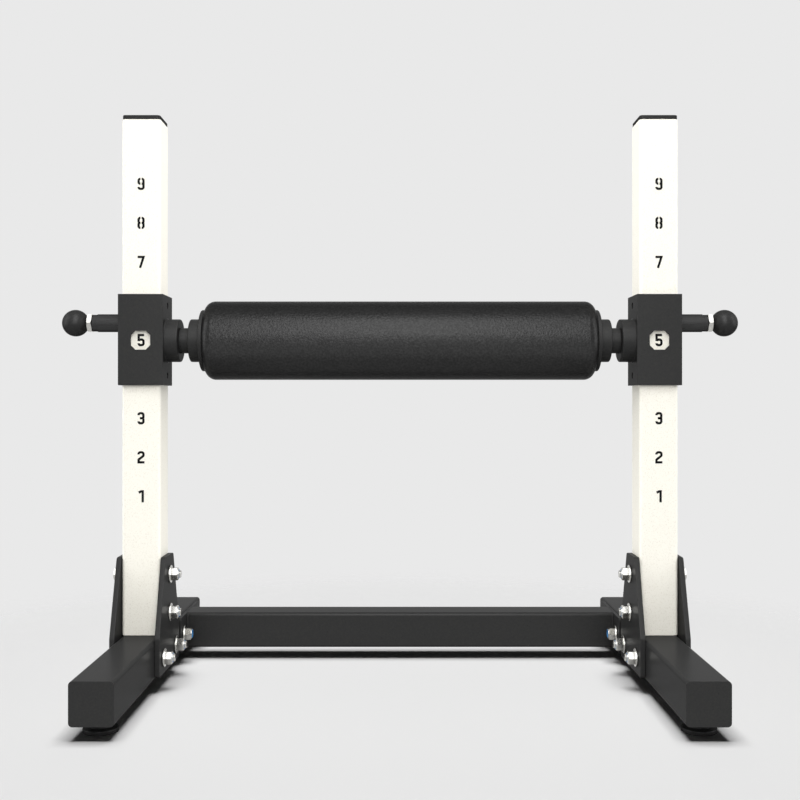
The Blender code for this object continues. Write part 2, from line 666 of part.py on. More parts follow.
def window_prism(drop):
    """The octagon that is cut in the front of the sleeve and the liner."""
    half_width, half_height = WINDOW_WIDTH / 2, WINDOW_HEIGHT / 2
    cut_width, cut_height = half_width - WINDOW_CORNER, half_height - WINDOW_CORNER
    quarter = [(half_width, cut_height), (cut_width, half_height)]
    outline = quarter + [(-x, z) for x, z in reversed(quarter)]
    outline += [(-x, -z) for x, z in outline]
    mesh = curve_mesh("window", outline, flat_thickness=4 * (SLEEVE_WALL + LINER_WALL))
    mesh.transform(Matrix.Translation((0, -SLEEVE_HALF, drop)) @ Matrix.Rotation(math.pi / 2, 4, "X"))
    bm = bmesh.new()
    bm.from_mesh(mesh)
    return bm


def button_rods(radius, sign, start, end):
    """Two short rods through the sleeve's inner wall, where the liner's buttons snap in."""
    return [rod(radius, sign * start, sign * end, 0, 8, (0, z)) for z in BUTTON_ZS]


def sleeve(side, sign, parent):
    """Carriage sleeve with its axle boss, number window, pin hole and liner button holes."""
    size = (SLEEVE_SIDE, SLEEVE_SIDE, SLEEVE_HEIGHT)
    hollow = SLEEVE_SIDE - 2 * SLEEVE_WALL
    box = part(
        f"{side}_sleeve", mesh_from("sleeve", block(size, SLEEVE_CORNER)), black_powder_coat(), parent,
        (sign * UPRIGHT_X, 0, ROLLER_AXIS_AT_REST),
    )
    root = -SLEEVE_HALF + SLEEVE_WALL / 2
    tip = -SLEEVE_HALF - BOSS_LENGTH
    boss = rod(BOSS_RADIUS, sign * root, sign * tip, 0, SHAFT_SIDES)
    boss_rim = [e for e in boss.edges if max(v.co.x * sign for v in e.verts) < tip + BOSS_EDGE_ROUND]
    bmesh.ops.bevel(
        boss, geom=boss_rim, offset=BOSS_EDGE_ROUND, segments=2, profile=0.5, affect="EDGES", material=-1
    )
    fuse(box, boss)
    cut(box, block((hollow, hollow, 2 * SLEEVE_HEIGHT), SLEEVE_INNER_CORNER, steps=1))
    seat_end = tip + AXLE_SEAT_DEPTH
    axle_seat = rod(AXLE_RADIUS + TOUCH_GAP, sign * seat_end, sign * (tip - BOSS_LENGTH), 0, SHAFT_SIDES)
    pin_hole = rod(
        PIN_HOLE_RADIUS, sign * (SLEEVE_HALF - 2 * SLEEVE_WALL), sign * (SLEEVE_HALF + SLEEVE_WALL), 0,
        SMALL_SIDES, (0, PLUNGER_RISE),
    )
    wall = -SLEEVE_HALF
    buttons = button_rods(LINER_BUTTON_RADIUS + TOUCH_GAP, sign, wall - SLEEVE_WALL, wall + 2 * SLEEVE_WALL)
    cut(box, axle_seat, pin_hole, window_prism(-WINDOW_DROP), *buttons)
    return settle(box)


def liner(side, sign, parent):
    """Low-friction liner that snaps into the sleeve by two buttons and slides on the upright."""
    height = SLEEVE_HEIGHT - 2 * LINER_END_INSET
    inside = 2 * (LINER_HALF - LINER_WALL)
    body = block((2 * LINER_HALF, 2 * LINER_HALF, height), LINER_CORNER, steps=1)
    shell = part(
        f"{side}_liner", mesh_from("liner", body), black_plastic(), parent,
        (sign * UPRIGHT_X, 0, ROLLER_AXIS_AT_REST),
    )
    fuse(shell, *button_rods(
        LINER_BUTTON_RADIUS, sign, -LINER_HALF + LINER_WALL / 2, -LINER_HALF - LINER_BUTTON_HEIGHT
    ))
    slide_corner = TUBE_CORNER + LINER_HALF - LINER_WALL - TUBE_HALF
    cut(shell, block((inside, inside, 2 * SLEEVE_HEIGHT), slide_corner))
    pin_hole = rod(
        PIN_HOLE_RADIUS, sign * (LINER_HALF - 2 * LINER_WALL), sign * SLEEVE_SIDE, 0,
        SMALL_SIDES, (0, PLUNGER_RISE),
    )
    cut(shell, pin_hole, window_prism(-WINDOW_DROP))
    return settle(shell)


def axle(parent):
    """Tubular axle, seated at both ends in the sleeves' bosses."""
    half = BOSS_END_X + AXLE_SEAT_DEPTH - TOUCH_GAP
    bore = AXLE_RADIUS - AXLE_WALL
    profile = [(bore, half), (AXLE_RADIUS, half), (AXLE_RADIUS, -half), (bore, -half)]
    return settle(turned(
        "axle", profile, black_powder_coat(), SHAFT_SIDES, parent,
        (0, 0, ROLLER_AXIS_AT_REST), 1, closed=True,
    ))


def roller_core(parent):
    """Steel tube under the foam."""
    half = FOAM_END_X
    bore = CORE_RADIUS - CORE_WALL
    profile = [(bore, half), (CORE_RADIUS, half), (CORE_RADIUS, -half), (bore, -half)]
    return settle(turned(
        "roller_core", profile, bare_steel(), ROLLER_SIDES, parent,
        (0, 0, ROLLER_AXIS_AT_REST), 1, closed=True,
    ))


def roller_hub(side, sign, parent):
    """End hub: neck that houses the bearing, end disc, and a spigot in the core tube."""
    spigot = CORE_RADIUS - CORE_WALL - TOUCH_GAP
    housing = BEARING_RADIUS + TOUCH_GAP
    neck_top = HUB_END_X
    profile = [(HUB_LIP_RADIUS, neck_top - HUB_LIP_THICKNESS), (HUB_LIP_RADIUS, neck_top)]
    profile += arc(HUB_NECK_RADIUS - HUB_EDGE_ROUND, neck_top - HUB_EDGE_ROUND, HUB_EDGE_ROUND, 90, 0, 2)
    profile += [(HUB_NECK_RADIUS, DISC_OUTER_X)]
    disc_rim = HUB_DISC_RADIUS - HUB_DISC_ROUND
    profile += arc(disc_rim, DISC_OUTER_X - HUB_DISC_ROUND, HUB_DISC_ROUND, 90, 0, 1)
    profile += [(HUB_DISC_RADIUS, DISC_INNER_X), (spigot, DISC_INNER_X)]
    spigot_end = DISC_INNER_X - HUB_SPIGOT_LENGTH
    profile += [(spigot, spigot_end), (housing, spigot_end), (housing, neck_top - HUB_LIP_THICKNESS)]
    return settle(turned(
        f"{side}_roller_hub", profile, black_powder_coat(), ROLLER_SIDES, parent,
        (0, 0, ROLLER_AXIS_AT_REST), sign, closed=True,
    ))


def bearing(side, sign, parent):
    """Sealed bearing in the hub, with its outer shield set back between the races."""
    top = HUB_END_X - HUB_LIP_THICKNESS - TOUCH_GAP
    bottom = top - BEARING_WIDTH
    bore = AXLE_RADIUS + RUNNING_GAP
    inner_race, outer_race = bore + BEARING_RACE_WIDTH, BEARING_RADIUS - BEARING_RACE_WIDTH
    recess = BEARING_SHIELD_RECESS
    profile = [(bore, top), (inner_race, top), (inner_race, top - recess), (outer_race, top - recess)]
    profile += [(outer_race, top), (BEARING_RADIUS, top), (BEARING_RADIUS, bottom), (bore, bottom)]
    return settle(turned(
        f"{side}_bearing", profile, bare_steel(), SHAFT_SIDES, parent,
        (0, 0, ROLLER_AXIS_AT_REST), sign, closed=True,
    ))


def foam_pad(parent):
    """Foam sleeve of the roller, with rounded ends."""
    bore = CORE_RADIUS + TOUCH_GAP
    shoulder = FOAM_RADIUS - FOAM_END_ROUND
    turn_in = FOAM_END_X - FOAM_END_ROUND
    profile = [(bore, FOAM_END_X)]
    profile += arc(shoulder, turn_in, FOAM_END_ROUND, 90, 0, FOAM_ROUND_STEPS)
    profile += arc(shoulder, -turn_in, FOAM_END_ROUND, 0, -90, FOAM_ROUND_STEPS)
    profile += [(bore, -FOAM_END_X)]
    return settle(turned(
        "foam_pad", profile, black_foam(), ROLLER_SIDES, parent, (0, 0, ROLLER_AXIS_AT_REST), 1, closed=True
    ))


def pin_barrel(side, sign, parent):
    """Fixed barrel of the plunger: spring bore, end wall, and a pocket that the skirt slides in."""
    rod_bore = PIN_ROD_RADIUS + TOUCH_GAP
    pocket = PIN_SKIRT_RADIUS + TOUCH_GAP
    profile = [(pocket, BARREL_POCKET_FLOOR), (pocket, BARREL_END)]
    profile += [(BARREL_RADIUS - BARREL_EDGE_ROUND, BARREL_END)]
    profile += [(BARREL_RADIUS, BARREL_END - BARREL_EDGE_ROUND), (BARREL_RADIUS, BARREL_START)]
    profile += [(BARREL_BORE_RADIUS, BARREL_START), (BARREL_BORE_RADIUS, BARREL_WALL_START)]
    profile += [(rod_bore, BARREL_WALL_START), (rod_bore, BARREL_POCKET_FLOOR)]
    return settle(turned(
        f"{side}_pin_barrel", profile, black_powder_coat(), ROUND_SIDES, parent,
        (sign * UPRIGHT_X, 0, PIN_Z), sign, closed=True,
    ))


def pull_pin(side, sign, parent):
    """Pin, spring shoulder, rod, skirt and threaded stud, turned from one bar."""
    stud_end = BALL_FLAT + PIN_STUD_DEPTH_IN_BALL
    profile = [(0, stud_end), (PIN_STUD_RADIUS, stud_end), (PIN_STUD_RADIUS, SKIRT_END)]
    profile += [(PIN_SKIRT_RADIUS - BARREL_EDGE_ROUND, SKIRT_END)]
    profile += [(PIN_SKIRT_RADIUS, SKIRT_END - BARREL_EDGE_ROUND)]
    profile += [(PIN_SKIRT_RADIUS, SKIRT_START), (PIN_ROD_RADIUS, SKIRT_START)]
    profile += [(PIN_ROD_RADIUS, PIN_SHOULDER_END), (PIN_SHOULDER_RADIUS, PIN_SHOULDER_END)]
    profile += [(PIN_SHOULDER_RADIUS, PIN_SHOULDER_START), (PIN_RADIUS, PIN_SHOULDER_START)]
    profile += [(PIN_RADIUS, PIN_TIP + PIN_TIP_CHAMFER)]
    profile += [(PIN_RADIUS - PIN_TIP_CHAMFER, PIN_TIP), (0, PIN_TIP)]
    return settle(turned(
        f"{side}_pull_pin", profile, black_powder_coat(), PIN_SIDES, parent,
        (sign * UPRIGHT_X, 0, PIN_Z), sign,
    ))


def jam_nut(side, sign, parent):
    """Thin hexagon nut that locks the ball on the stud."""
    start = SKIRT_END + TOUCH_GAP
    end = start + JAM_NUT_THICKNESS
    body = hexagon(JAM_NUT_FLATS, sign * start, sign * end)
    rims = [e for e in body.edges if abs(e.verts[0].co.x - e.verts[1].co.x) < JAM_NUT_THICKNESS / 2]
    bmesh.ops.bevel(body, geom=rims, offset=HEX_CHAMFER, segments=1, profile=0.5, affect="EDGES", material=-1)
    nut = part(
        f"{side}_jam_nut", mesh_from("jam_nut", body), zinc_plate(), parent, (sign * UPRIGHT_X, 0, PIN_Z)
    )
    bore = PIN_STUD_RADIUS + TOUCH_GAP
    cut(nut, rod(bore, sign * PIN_SHOULDER_END, sign * BALL_CENTRE, 0, PIN_SIDES))
    return settle(nut)


def ball_knob(side, sign, parent):
    """Ball knob with a flat at its neck and a blind bore for the stud."""
    bore = PIN_STUD_RADIUS + TOUCH_GAP
    floor = BALL_FLAT + PIN_STUD_DEPTH_IN_BALL + TOUCH_GAP
    lowest = -math.degrees(math.asin(BALL_FLAT_FROM_CENTRE / BALL_RADIUS))
    ball = arc(0, BALL_CENTRE, BALL_RADIUS, 90, lowest, BALL_ARC_STEPS)
    profile = [(0, BALL_CENTRE + BALL_RADIUS)] + ball[1:] + [(bore, BALL_FLAT), (bore, floor), (0, floor)]
    return settle(turned(
        f"{side}_ball_knob", profile, black_plastic(), ROUND_SIDES, parent, (sign * UPRIGHT_X, 0, PIN_Z), sign
    ))


def plunger_spring(side, sign, parent):
    """Compression spring between the pin's shoulder and the barrel's end wall."""
    start = PIN_SHOULDER_END + TOUCH_GAP + SPRING_WIRE_RADIUS
    end = BARREL_WALL_START - TOUCH_GAP - SPRING_WIRE_RADIUS
    count = SPRING_TURNS * SPRING_POINTS_PER_TURN
    points = []
    for step in range(count + 1):
        angle = 2 * math.pi * step / SPRING_POINTS_PER_TURN
        points.append((
            sign * (start + (end - start) * step / count),
            SPRING_COIL_RADIUS * math.cos(angle),
            SPRING_COIL_RADIUS * math.sin(angle),
        ))
    apart = SPRING_POINTS_PER_TURN // 2
    least = min(
        math.dist(points[first], points[second])
        for first in range(count + 1)
        for second in range(first + apart, count + 1)
    )
    print(f"{side} spring: least gap between its curls {1000 * (least - 2 * SPRING_WIRE_RADIUS):.2f} mm")
    mesh = curve_mesh(f"{side}_spring", points, wire_radius=SPRING_WIRE_RADIUS)
    mesh.shade_smooth()
    return part(f"{side}_plunger_spring", mesh, bare_steel(), parent, (sign * UPRIGHT_X, 0, PIN_Z))


def build():
    """Make the whole stand."""
    clear_scene()
    frame = pivot("frame_origin", (0, 0, 0))
    carriage = pivot("carriage_origin", (0, 0, ROLLER_AXIS_AT_REST))
    roller = pivot("roller_axis", (0, 0, ROLLER_AXIS_AT_REST), carriage)
    cross_member(frame)
    for side, sign in SIDES.items():
        foot_tube(side, sign, frame)
        upright(side, sign, frame)
        upright_cap(side, sign, frame)
        gusset_plates(side, sign, frame)
        bolted_joints(side, sign, frame)
        for end, y in (("front", -LEVEL_Y), ("rear", LEVEL_Y)):
            name = f"{end}_{side}_levelling_foot"
            screw_axis = pivot(f"{name}_axis", (sign * UPRIGHT_X, y, 0))
            levelling_foot(name, screw_axis, sign * UPRIGHT_X, y)
        sleeve(side, sign, carriage)
        liner(side, sign, carriage)
        pin_barrel(side, sign, carriage)
        plunger_spring(side, sign, carriage)
        plunger = pivot(f"{side}_plunger_axis", (sign * UPRIGHT_X, 0, PIN_Z), carriage)
        pull_pin(side, sign, plunger)
        jam_nut(side, sign, plunger)
        ball_knob(side, sign, plunger)
        roller_hub(side, sign, roller)
        bearing(side, sign, roller)
    axle(carriage)
    roller_core(roller)
    foam_pad(roller)


build()
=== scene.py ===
"""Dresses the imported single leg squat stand: fine meshes over its solids, finishes, light and camera.

Metres, +Z up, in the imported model's own frame: -Y is the front and +X the stand's right as seen from there.
"""

import json
import logging
import math
from collections.abc import Callable, Sequence
from dataclasses import dataclass, field
from enum import Enum

import bmesh
import bpy
from mathutils import Matrix, Vector

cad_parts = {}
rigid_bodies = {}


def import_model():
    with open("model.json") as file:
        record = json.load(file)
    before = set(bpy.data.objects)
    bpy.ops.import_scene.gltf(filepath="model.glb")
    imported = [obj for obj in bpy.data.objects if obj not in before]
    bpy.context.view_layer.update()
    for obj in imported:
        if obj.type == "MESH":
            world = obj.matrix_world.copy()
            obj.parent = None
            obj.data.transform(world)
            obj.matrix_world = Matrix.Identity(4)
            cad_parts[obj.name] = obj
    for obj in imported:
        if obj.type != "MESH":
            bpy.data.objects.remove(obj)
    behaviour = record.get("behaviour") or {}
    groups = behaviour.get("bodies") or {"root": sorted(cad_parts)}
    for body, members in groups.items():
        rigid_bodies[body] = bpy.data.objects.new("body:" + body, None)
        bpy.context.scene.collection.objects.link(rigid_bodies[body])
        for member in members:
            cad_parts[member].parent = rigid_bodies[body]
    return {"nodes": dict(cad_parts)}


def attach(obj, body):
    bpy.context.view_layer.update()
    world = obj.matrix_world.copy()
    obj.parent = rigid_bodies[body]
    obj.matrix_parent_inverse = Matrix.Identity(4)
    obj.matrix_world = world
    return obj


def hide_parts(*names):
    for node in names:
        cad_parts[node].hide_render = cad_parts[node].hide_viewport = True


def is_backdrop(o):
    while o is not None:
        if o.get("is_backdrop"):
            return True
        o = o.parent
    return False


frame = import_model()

logging.basicConfig(level=logging.INFO, format="%(message)s")
LOG = logging.getLogger("squat_stand")

Colour = tuple[float, float, float, float]
Corner = tuple[float, float, float]
Shape = bmesh.types.BMesh
Socket = bpy.types.NodeSocket


# Colour and node helpers

def linear(hex_code: str) -> Colour:
    """Turn an sRGB hex value into linear colour.

    Args:
        hex_code: the colour, such as "#3c3c3c".

    Returns:
        Linear red, green, blue and an alpha of 1.
    """
    channels = [int(hex_code[at:at + 2], 16) / 255 for at in (1, 3, 5)]
    red, green, blue = (c / 12.92 if c <= 0.04045 else ((c + 0.055) / 1.055) ** 2.4 for c in channels)
    return (red, green, blue, 1.0)


def add_node(tree: bpy.types.NodeTree, kind: str, settings: dict | None = None,
             inputs: dict | None = None) -> bpy.types.Node:
    """Add a node with its settings, and its inputs as values or links.

    Args:
        tree: the node tree to add to.
        kind: the node's type, such as "ShaderNodeTexNoise".
        settings: attribute name to value.
        inputs: socket name or number to a value, or to the output socket that feeds it.

    Returns:
        The new node.
    """
    node = tree.nodes.new(kind)
    for name, value in (settings or {}).items():
        setattr(node, name, value)
    for name, value in (inputs or {}).items():
        if isinstance(value, Socket):
            tree.links.new(value, node.inputs[name])
        else:
            node.inputs[name].default_value = value
    return node


# Finishes

@dataclass(frozen=True)
class Finish:
    """A surface finish: what the material is and how its surface was made.

    Pattern sizes are in millimetres and are turned into texture scales per metre. The edge is the tint of
    reflections at grazing angles.
    """

    name: str
    slot: str
    colour: str
    fleck: str
    roughness: float
    roughness_spread: float
    grain_mm: float
    fleck_mm: float
    relief_mm: float
    grain_detail: float = 2.0
    grain_roughness: float = 0.5
    metallic: float = 0.0
    fleck_from: float = 0.45
    fleck_to: float = 0.75
    fleck_amount: float = 1.0
    specular: float = 0.5
    edge: str = "#ffffff"

    def material(self) -> bpy.types.Material:
        """Give the finish's material, made on first use.

        Returns:
            The material.
        """
        made = bpy.data.materials.get(self.name)
        if not made:
            made = bpy.data.materials.new(self.name)
            made.use_nodes = True
            made.diffuse_color = linear(self.colour)
            self.dress(made.node_tree)
        return made

    def dress(self, tree: bpy.types.NodeTree) -> None:
        """Set the shader, and link the finish's colour, roughness and relief to it.

        Args:
            tree: the material's node tree.
        """
        shader = tree.nodes["Principled BSDF"]
        shader.inputs["Metallic"].default_value = self.metallic
        shader.inputs["Specular IOR Level"].default_value = self.specular
        shader.inputs["Specular Tint"].default_value = linear(self.edge)
        where = self.coordinates(tree)
        flecks = add_node(tree, "ShaderNodeTexNoise", inputs={
            "Vector": where, "Scale": 1000 / self.fleck_mm, "Detail": 3.0, "Roughness": 0.6,
        }).outputs["Fac"]
        share = add_node(tree, "ShaderNodeMapRange", inputs={
            "Value": flecks, "From Min": self.fleck_from, "From Max": self.fleck_to,
            "To Max": self.fleck_amount,
        })
        colour = add_node(tree, "ShaderNodeMix", {"data_type": "RGBA"}, {
            0: share.outputs["Result"], 6: linear(self.colour), 7: linear(self.fleck),
        })
        polish = add_node(tree, "ShaderNodeMapRange", inputs={
            "Value": flecks, "To Min": self.roughness - self.roughness_spread,
            "To Max": self.roughness + self.roughness_spread,
        })
        bump = add_node(tree, "ShaderNodeBump", inputs={
            "Height": self.relief(tree, where), "Distance": self.relief_mm / 1000, "Strength": 1.0,
        })
        tree.links.new(colour.outputs[2], shader.inputs["Base Color"])
        tree.links.new(polish.outputs["Result"], shader.inputs["Roughness"])
        tree.links.new(bump.outputs["Normal"], shader.inputs["Normal"])

    def coordinates(self, tree: bpy.types.NodeTree) -> Socket:
        """The coordinates that the patterns read: the piece's own place, in metres."""
        return add_node(tree, "ShaderNodeTexCoord").outputs["Object"]

    def relief(self, tree: bpy.types.NodeTree, where: Socket) -> Socket:
        """The pattern that raises the surface: a fine grain."""
        return add_node(tree, "ShaderNodeTexNoise", inputs={
            "Vector": where, "Scale": 1000 / self.grain_mm, "Detail": self.grain_detail,
            "Roughness": self.grain_roughness,
        }).outputs["Fac"]


@dataclass(frozen=True)
class PowderCoat(Finish):
    """Polyester powder, sprayed and stoved: an even satin skin with a fine sandy peel."""

    grain_detail: float = 3.0
    grain_roughness: float = 0.55
    peel_mm: float = 3.0
    peel_share: float = 0.4

    def relief(self, tree: bpy.types.NodeTree, where: Socket) -> Socket:
        """The pattern that raises the surface: fine grit over a broad peel.

        Args:
            tree: the material's node tree.
            where: the coordinates that the patterns read.

        Returns:
            The pattern, 0 to 1.
        """
        peel = add_node(tree, "ShaderNodeTexNoise", inputs={
            "Vector": where, "Scale": 1000 / self.peel_mm, "Detail": 1.0,
        })
        return add_node(tree, "ShaderNodeMix", {"data_type": "FLOAT"}, {
            0: self.peel_share, 2: super().relief(tree, where), 3: peel.outputs["Fac"],
        }).outputs[0]


@dataclass(frozen=True)
class FoamSkin(Finish):
    """Closed-cell foam with a moulded skin: a pebbled grain and few open cells."""

    grain_detail: float = 3.0
    grain_roughness: float = 0.65
    cell_mm: float = 3.0
    cell_share: float = 0.5

    def relief(self, tree: bpy.types.NodeTree, where: Socket) -> Socket:
        """The pattern that raises the surface: the foam's cells among its grain.

        Args:
            tree: the material's node tree.
            where: the coordinates that the patterns read.

        Returns:
            The pattern, 0 to 1.
        """
        cells = add_node(tree, "ShaderNodeTexVoronoi", {"feature": "SMOOTH_F1"}, {
            "Vector": where, "Scale": 1000 / self.cell_mm, "Smoothness": 0.6,
        })
        return add_node(tree, "ShaderNodeMix", {"data_type": "FLOAT"}, {
            0: self.cell_share, 2: super().relief(tree, where), 3: cells.outputs["Distance"],
        }).outputs[0]


@dataclass(frozen=True)
class DrawnSteel(Finish):
    """Steel with fine marks along one axis from drawing or turning."""

    stretch: tuple[float, float, float] = (0.08, 1.0, 1.0)

    def coordinates(self, tree: bpy.types.NodeTree) -> Socket:
        """The coordinates that the patterns read, stretched along the marks."""
        inputs = {"Vector": super().coordinates(tree), "Scale": self.stretch}
        return add_node(tree, "ShaderNodeMapping", inputs=inputs).outputs["Vector"]


# The black coat, nylon, phenolic and blackened steel, and the foam, mirror lamps and pale neighbours, yet
# stay dark where they are seen at a grazing angle. So they have a metallic share whose edge is dark, and
# little other gloss, all matched to the photograph.

# Satin black polyester powder coat on steel: dark grey, never pure black, with a sandy peel under 1 mm
BLACK_COAT = PowderCoat(
    "powder_coated_steel_black", "black_powder_coat", "#363636", "#3a3a39", 0.29, 0.04, 0.7, 2.6, 0.012,
    specular=0.009, metallic=0.32, edge="#000000",
)
# Ivory powder coat with a coarser texture, whose pits hold a warm grey
IVORY_COAT = PowderCoat(
    "powder_coated_steel_ivory", "ivory_powder_coat", "#fcf9ee", "#d8d2c2", 0.55, 0.06, 1.3, 1.9, 0.16,
    fleck_from=0.52, fleck_to=0.74, fleck_amount=0.6, specular=0.3, peel_mm=3.5, peel_share=0.3,
)
# Bright zinc plate on hexagon hardware: a slightly warm light grey metal with crisp facets and no marks
ZINC_PLATE = Finish(
    "bright_zinc_plate", "zinc_plated_steel", "#c3c2be", "#cac9c4", 0.22, 0.02, 0.6, 6.0, 0.003, metallic=1.0,
)
# Ground bearing and spring steel under a film of oil: darker and glossier
BARE_STEEL = DrawnSteel(
    "ground_steel", "bare_steel", "#8a8a8c", "#9a9a9b", 0.30, 0.06, 0.8, 5.0, 0.01, metallic=1.0,
)
# Glass-filled nylon, injection moulded: black with a faint sheen and a fine spark-eroded grain
BLACK_NYLON = Finish(
    "moulded_nylon_black", "black_nylon", "#2d2d2d", "#343434", 0.38, 0.05, 0.8, 3.0, 0.02,
    specular=0.006, metallic=0.42, edge="#000000",
)
# Moulded phenolic of the ball knobs: smooth and black, with a soft highlight
KNOB_PHENOLIC = Finish(
    "moulded_phenolic_black", "black_nylon", "#353535", "#3a3a3a", 0.34, 0.04, 1.2, 5.0, 0.012,
    specular=0.02, metallic=0.45, edge="#000000",
)
# Chemically blackened steel of the plungers: satin, with turning marks
BLACKENED_STEEL = DrawnSteel(
    "blackened_steel", "black_powder_coat", "#3f3f3f", "#454545", 0.28, 0.03, 0.8, 4.0, 0.006,
    specular=0.006, metallic=0.6, edge="#000000",
)
# Low-friction polyethylene liner, machined: matt black, darkened further as painted shade where its buttons
# and edges show in the sleeve's recesses
LINER_BLACK_AND_PAINTED_SHADE = Finish(
    "machined_polyethylene_black", "black_nylon", "#0d0d0e", "#151516", 0.55, 0.05, 1.0, 4.0, 0.02,
    specular=0.1,
)
# Skinned rubber foam: a dark satin skin, its pebbled grain drawn near 3 mm so that it shows
ROLLER_FOAM = FoamSkin(
    "skinned_rubber_foam", "black_foam", "#2c2c2c", "#353535", 0.30, 0.05, 2.0, 3.0, 0.5,
    fleck_from=0.40, fleck_to=0.62, specular=0.10, metallic=0.62, edge="#666666",
)
# Blue nylon ring of a locknut, turned: even and half glossy
NYLON_INSERT = Finish(
    "turned_nylon_blue", "black_nylon", "#2f78b4", "#3b86c2", 0.40, 0.04, 0.6, 2.0, 0.01,
)
# Screen-printed enamel of the height numbers: flat black
NUMBER_ENAMEL = Finish(
    "printed_enamel_black", "black_nylon", "#060606", "#0c0c0c", 0.55, 0.04, 0.5, 2.0, 0.005, specular=0.1,
)


# Shape helpers

class Along(Enum):
    """The axis that a shape's length runs along."""

    X = 0
    Y = 1
    Z = 2


def rounded_path(corners: Sequence[Corner], closed: bool = False,
                 steps: int = 6) -> list[tuple[float, float]]:
    """Round the corners of a path.

    Args:
        corners: (x, y, radius) of each corner; a radius of 0 keeps it sharp.
        closed: whether the last corner joins the first.
        steps: segments in each rounding.

    Returns:
        The points of the rounded path.
    """
    path: list[tuple[float, float]] = []
    count = len(corners)
    for index, (x, y, radius) in enumerate(corners):
        ends = not closed and index in (0, count - 1)
        if radius == 0 or ends:
            path.append((x, y))
            continue
        here = Vector((x, y))
        back = (Vector(corners[index - 1][:2]) - here).normalized()
        ahead = (Vector(corners[(index + 1) % count][:2]) - here).normalized()
        half = back.angle(ahead) / 2
        centre = here + (back + ahead).normalized() * radius / math.sin(half)
        first = here + back * radius / math.tan(half) - centre
        last = here + ahead * radius / math.tan(half) - centre
        start = math.atan2(first.y, first.x)
        sweep = math.remainder(math.atan2(last.y, last.x) - start, 2 * math.pi)
        for step in range(steps + 1):
            angle = start + sweep * step / steps
            path.append((centre.x + radius * math.cos(angle), centre.y + radius * math.sin(angle)))
    return path


def round_edges(bm: Shape, edges: Sequence[bmesh.types.BMEdge], radius: float, segments: int) -> None:
    """Round some edges of a shape, or chamfer them with one segment."""
    bmesh.ops.bevel(bm, geom=edges, offset=radius, segments=segments, profile=0.5, affect="EDGES",
                    material=-1)


def rounded_bar(size: Sequence[float], corner: float, along: Along, end_round: float = 0.0,
                centre: Sequence[float] = (0, 0, 0), segments: int = 6) -> Shape:
    """A square bar with rounded long edges and, if asked, rounded rims.

    Args:
        size: its sides along X, Y and Z.
        corner: radius of the long edges.
        along: the axis of its length.
        end_round: radius of the rims of its ends.
        centre: its middle.
        segments: segments in each long edge.

    Returns:
        A new bmesh.
    """
    axis = along.value
    bm = bmesh.new()
    bmesh.ops.create_cube(bm, size=1.0, matrix=Matrix.Diagonal((*size, 1.0)))
    long_edges = [e for e in bm.edges if abs((e.verts[0].co - e.verts[1].co)[axis]) > size[axis] / 2]
    round_edges(bm, long_edges, corner, segments)
    if end_round:
        rims = [e for e in bm.edges if abs((e.verts[0].co - e.verts[1].co)[axis]) < size[axis] / 2]
        round_edges(bm, rims, end_round, 3)
    bmesh.ops.translate(bm, verts=bm.verts, vec=centre)
    return bm


def thicken(bm: Shape, faces: Sequence[bmesh.types.BMFace], by: Sequence[float]) -> None:
    """Extrude flat faces into a closed shape.

    Args:
        bm: the shape that has the faces.
        faces: the flat faces.
        by: which way and how far.
    """
    grown = bmesh.ops.extrude_face_region(bm, geom=faces)["geom"]
    far = [v for v in grown if isinstance(v, bmesh.types.BMVert)]
    bmesh.ops.translate(bm, verts=far, vec=by)
    bmesh.ops.recalc_face_normals(bm, faces=bm.faces)


def turned(corners: Sequence[Corner], sides: int, steps: int = 4, ring: bool = False) -> Shape:
    """Turn a profile about +Z, its corners rounded.

    Args:
        corners: (radius, height, rounding) of each corner, from the top down the outer side.
        sides: segments round the axis.
        steps: segments in each rounding.
        ring: whether the last corner joins the first, for a piece with a bore.

    Returns:
        A new closed bmesh.
    """
    bm = bmesh.new()
    points = [bm.verts.new((radius, 0, height)) for radius, height in rounded_path(corners, ring, steps)]
    pairs = list(zip(points, points[1:])) + ([(points[-1], points[0])] if ring else [])
    edges = [bm.edges.new(pair) for pair in pairs]
    bmesh.ops.spin(bm, geom=[*points, *edges], cent=(0, 0, 0), axis=(0, 0, 1), angle=2 * math.pi,
                   steps=sides, use_merge=True)
    bmesh.ops.remove_doubles(bm, verts=bm.verts, dist=1e-6)
    bmesh.ops.recalc_face_normals(bm, faces=bm.faces)
    return bm


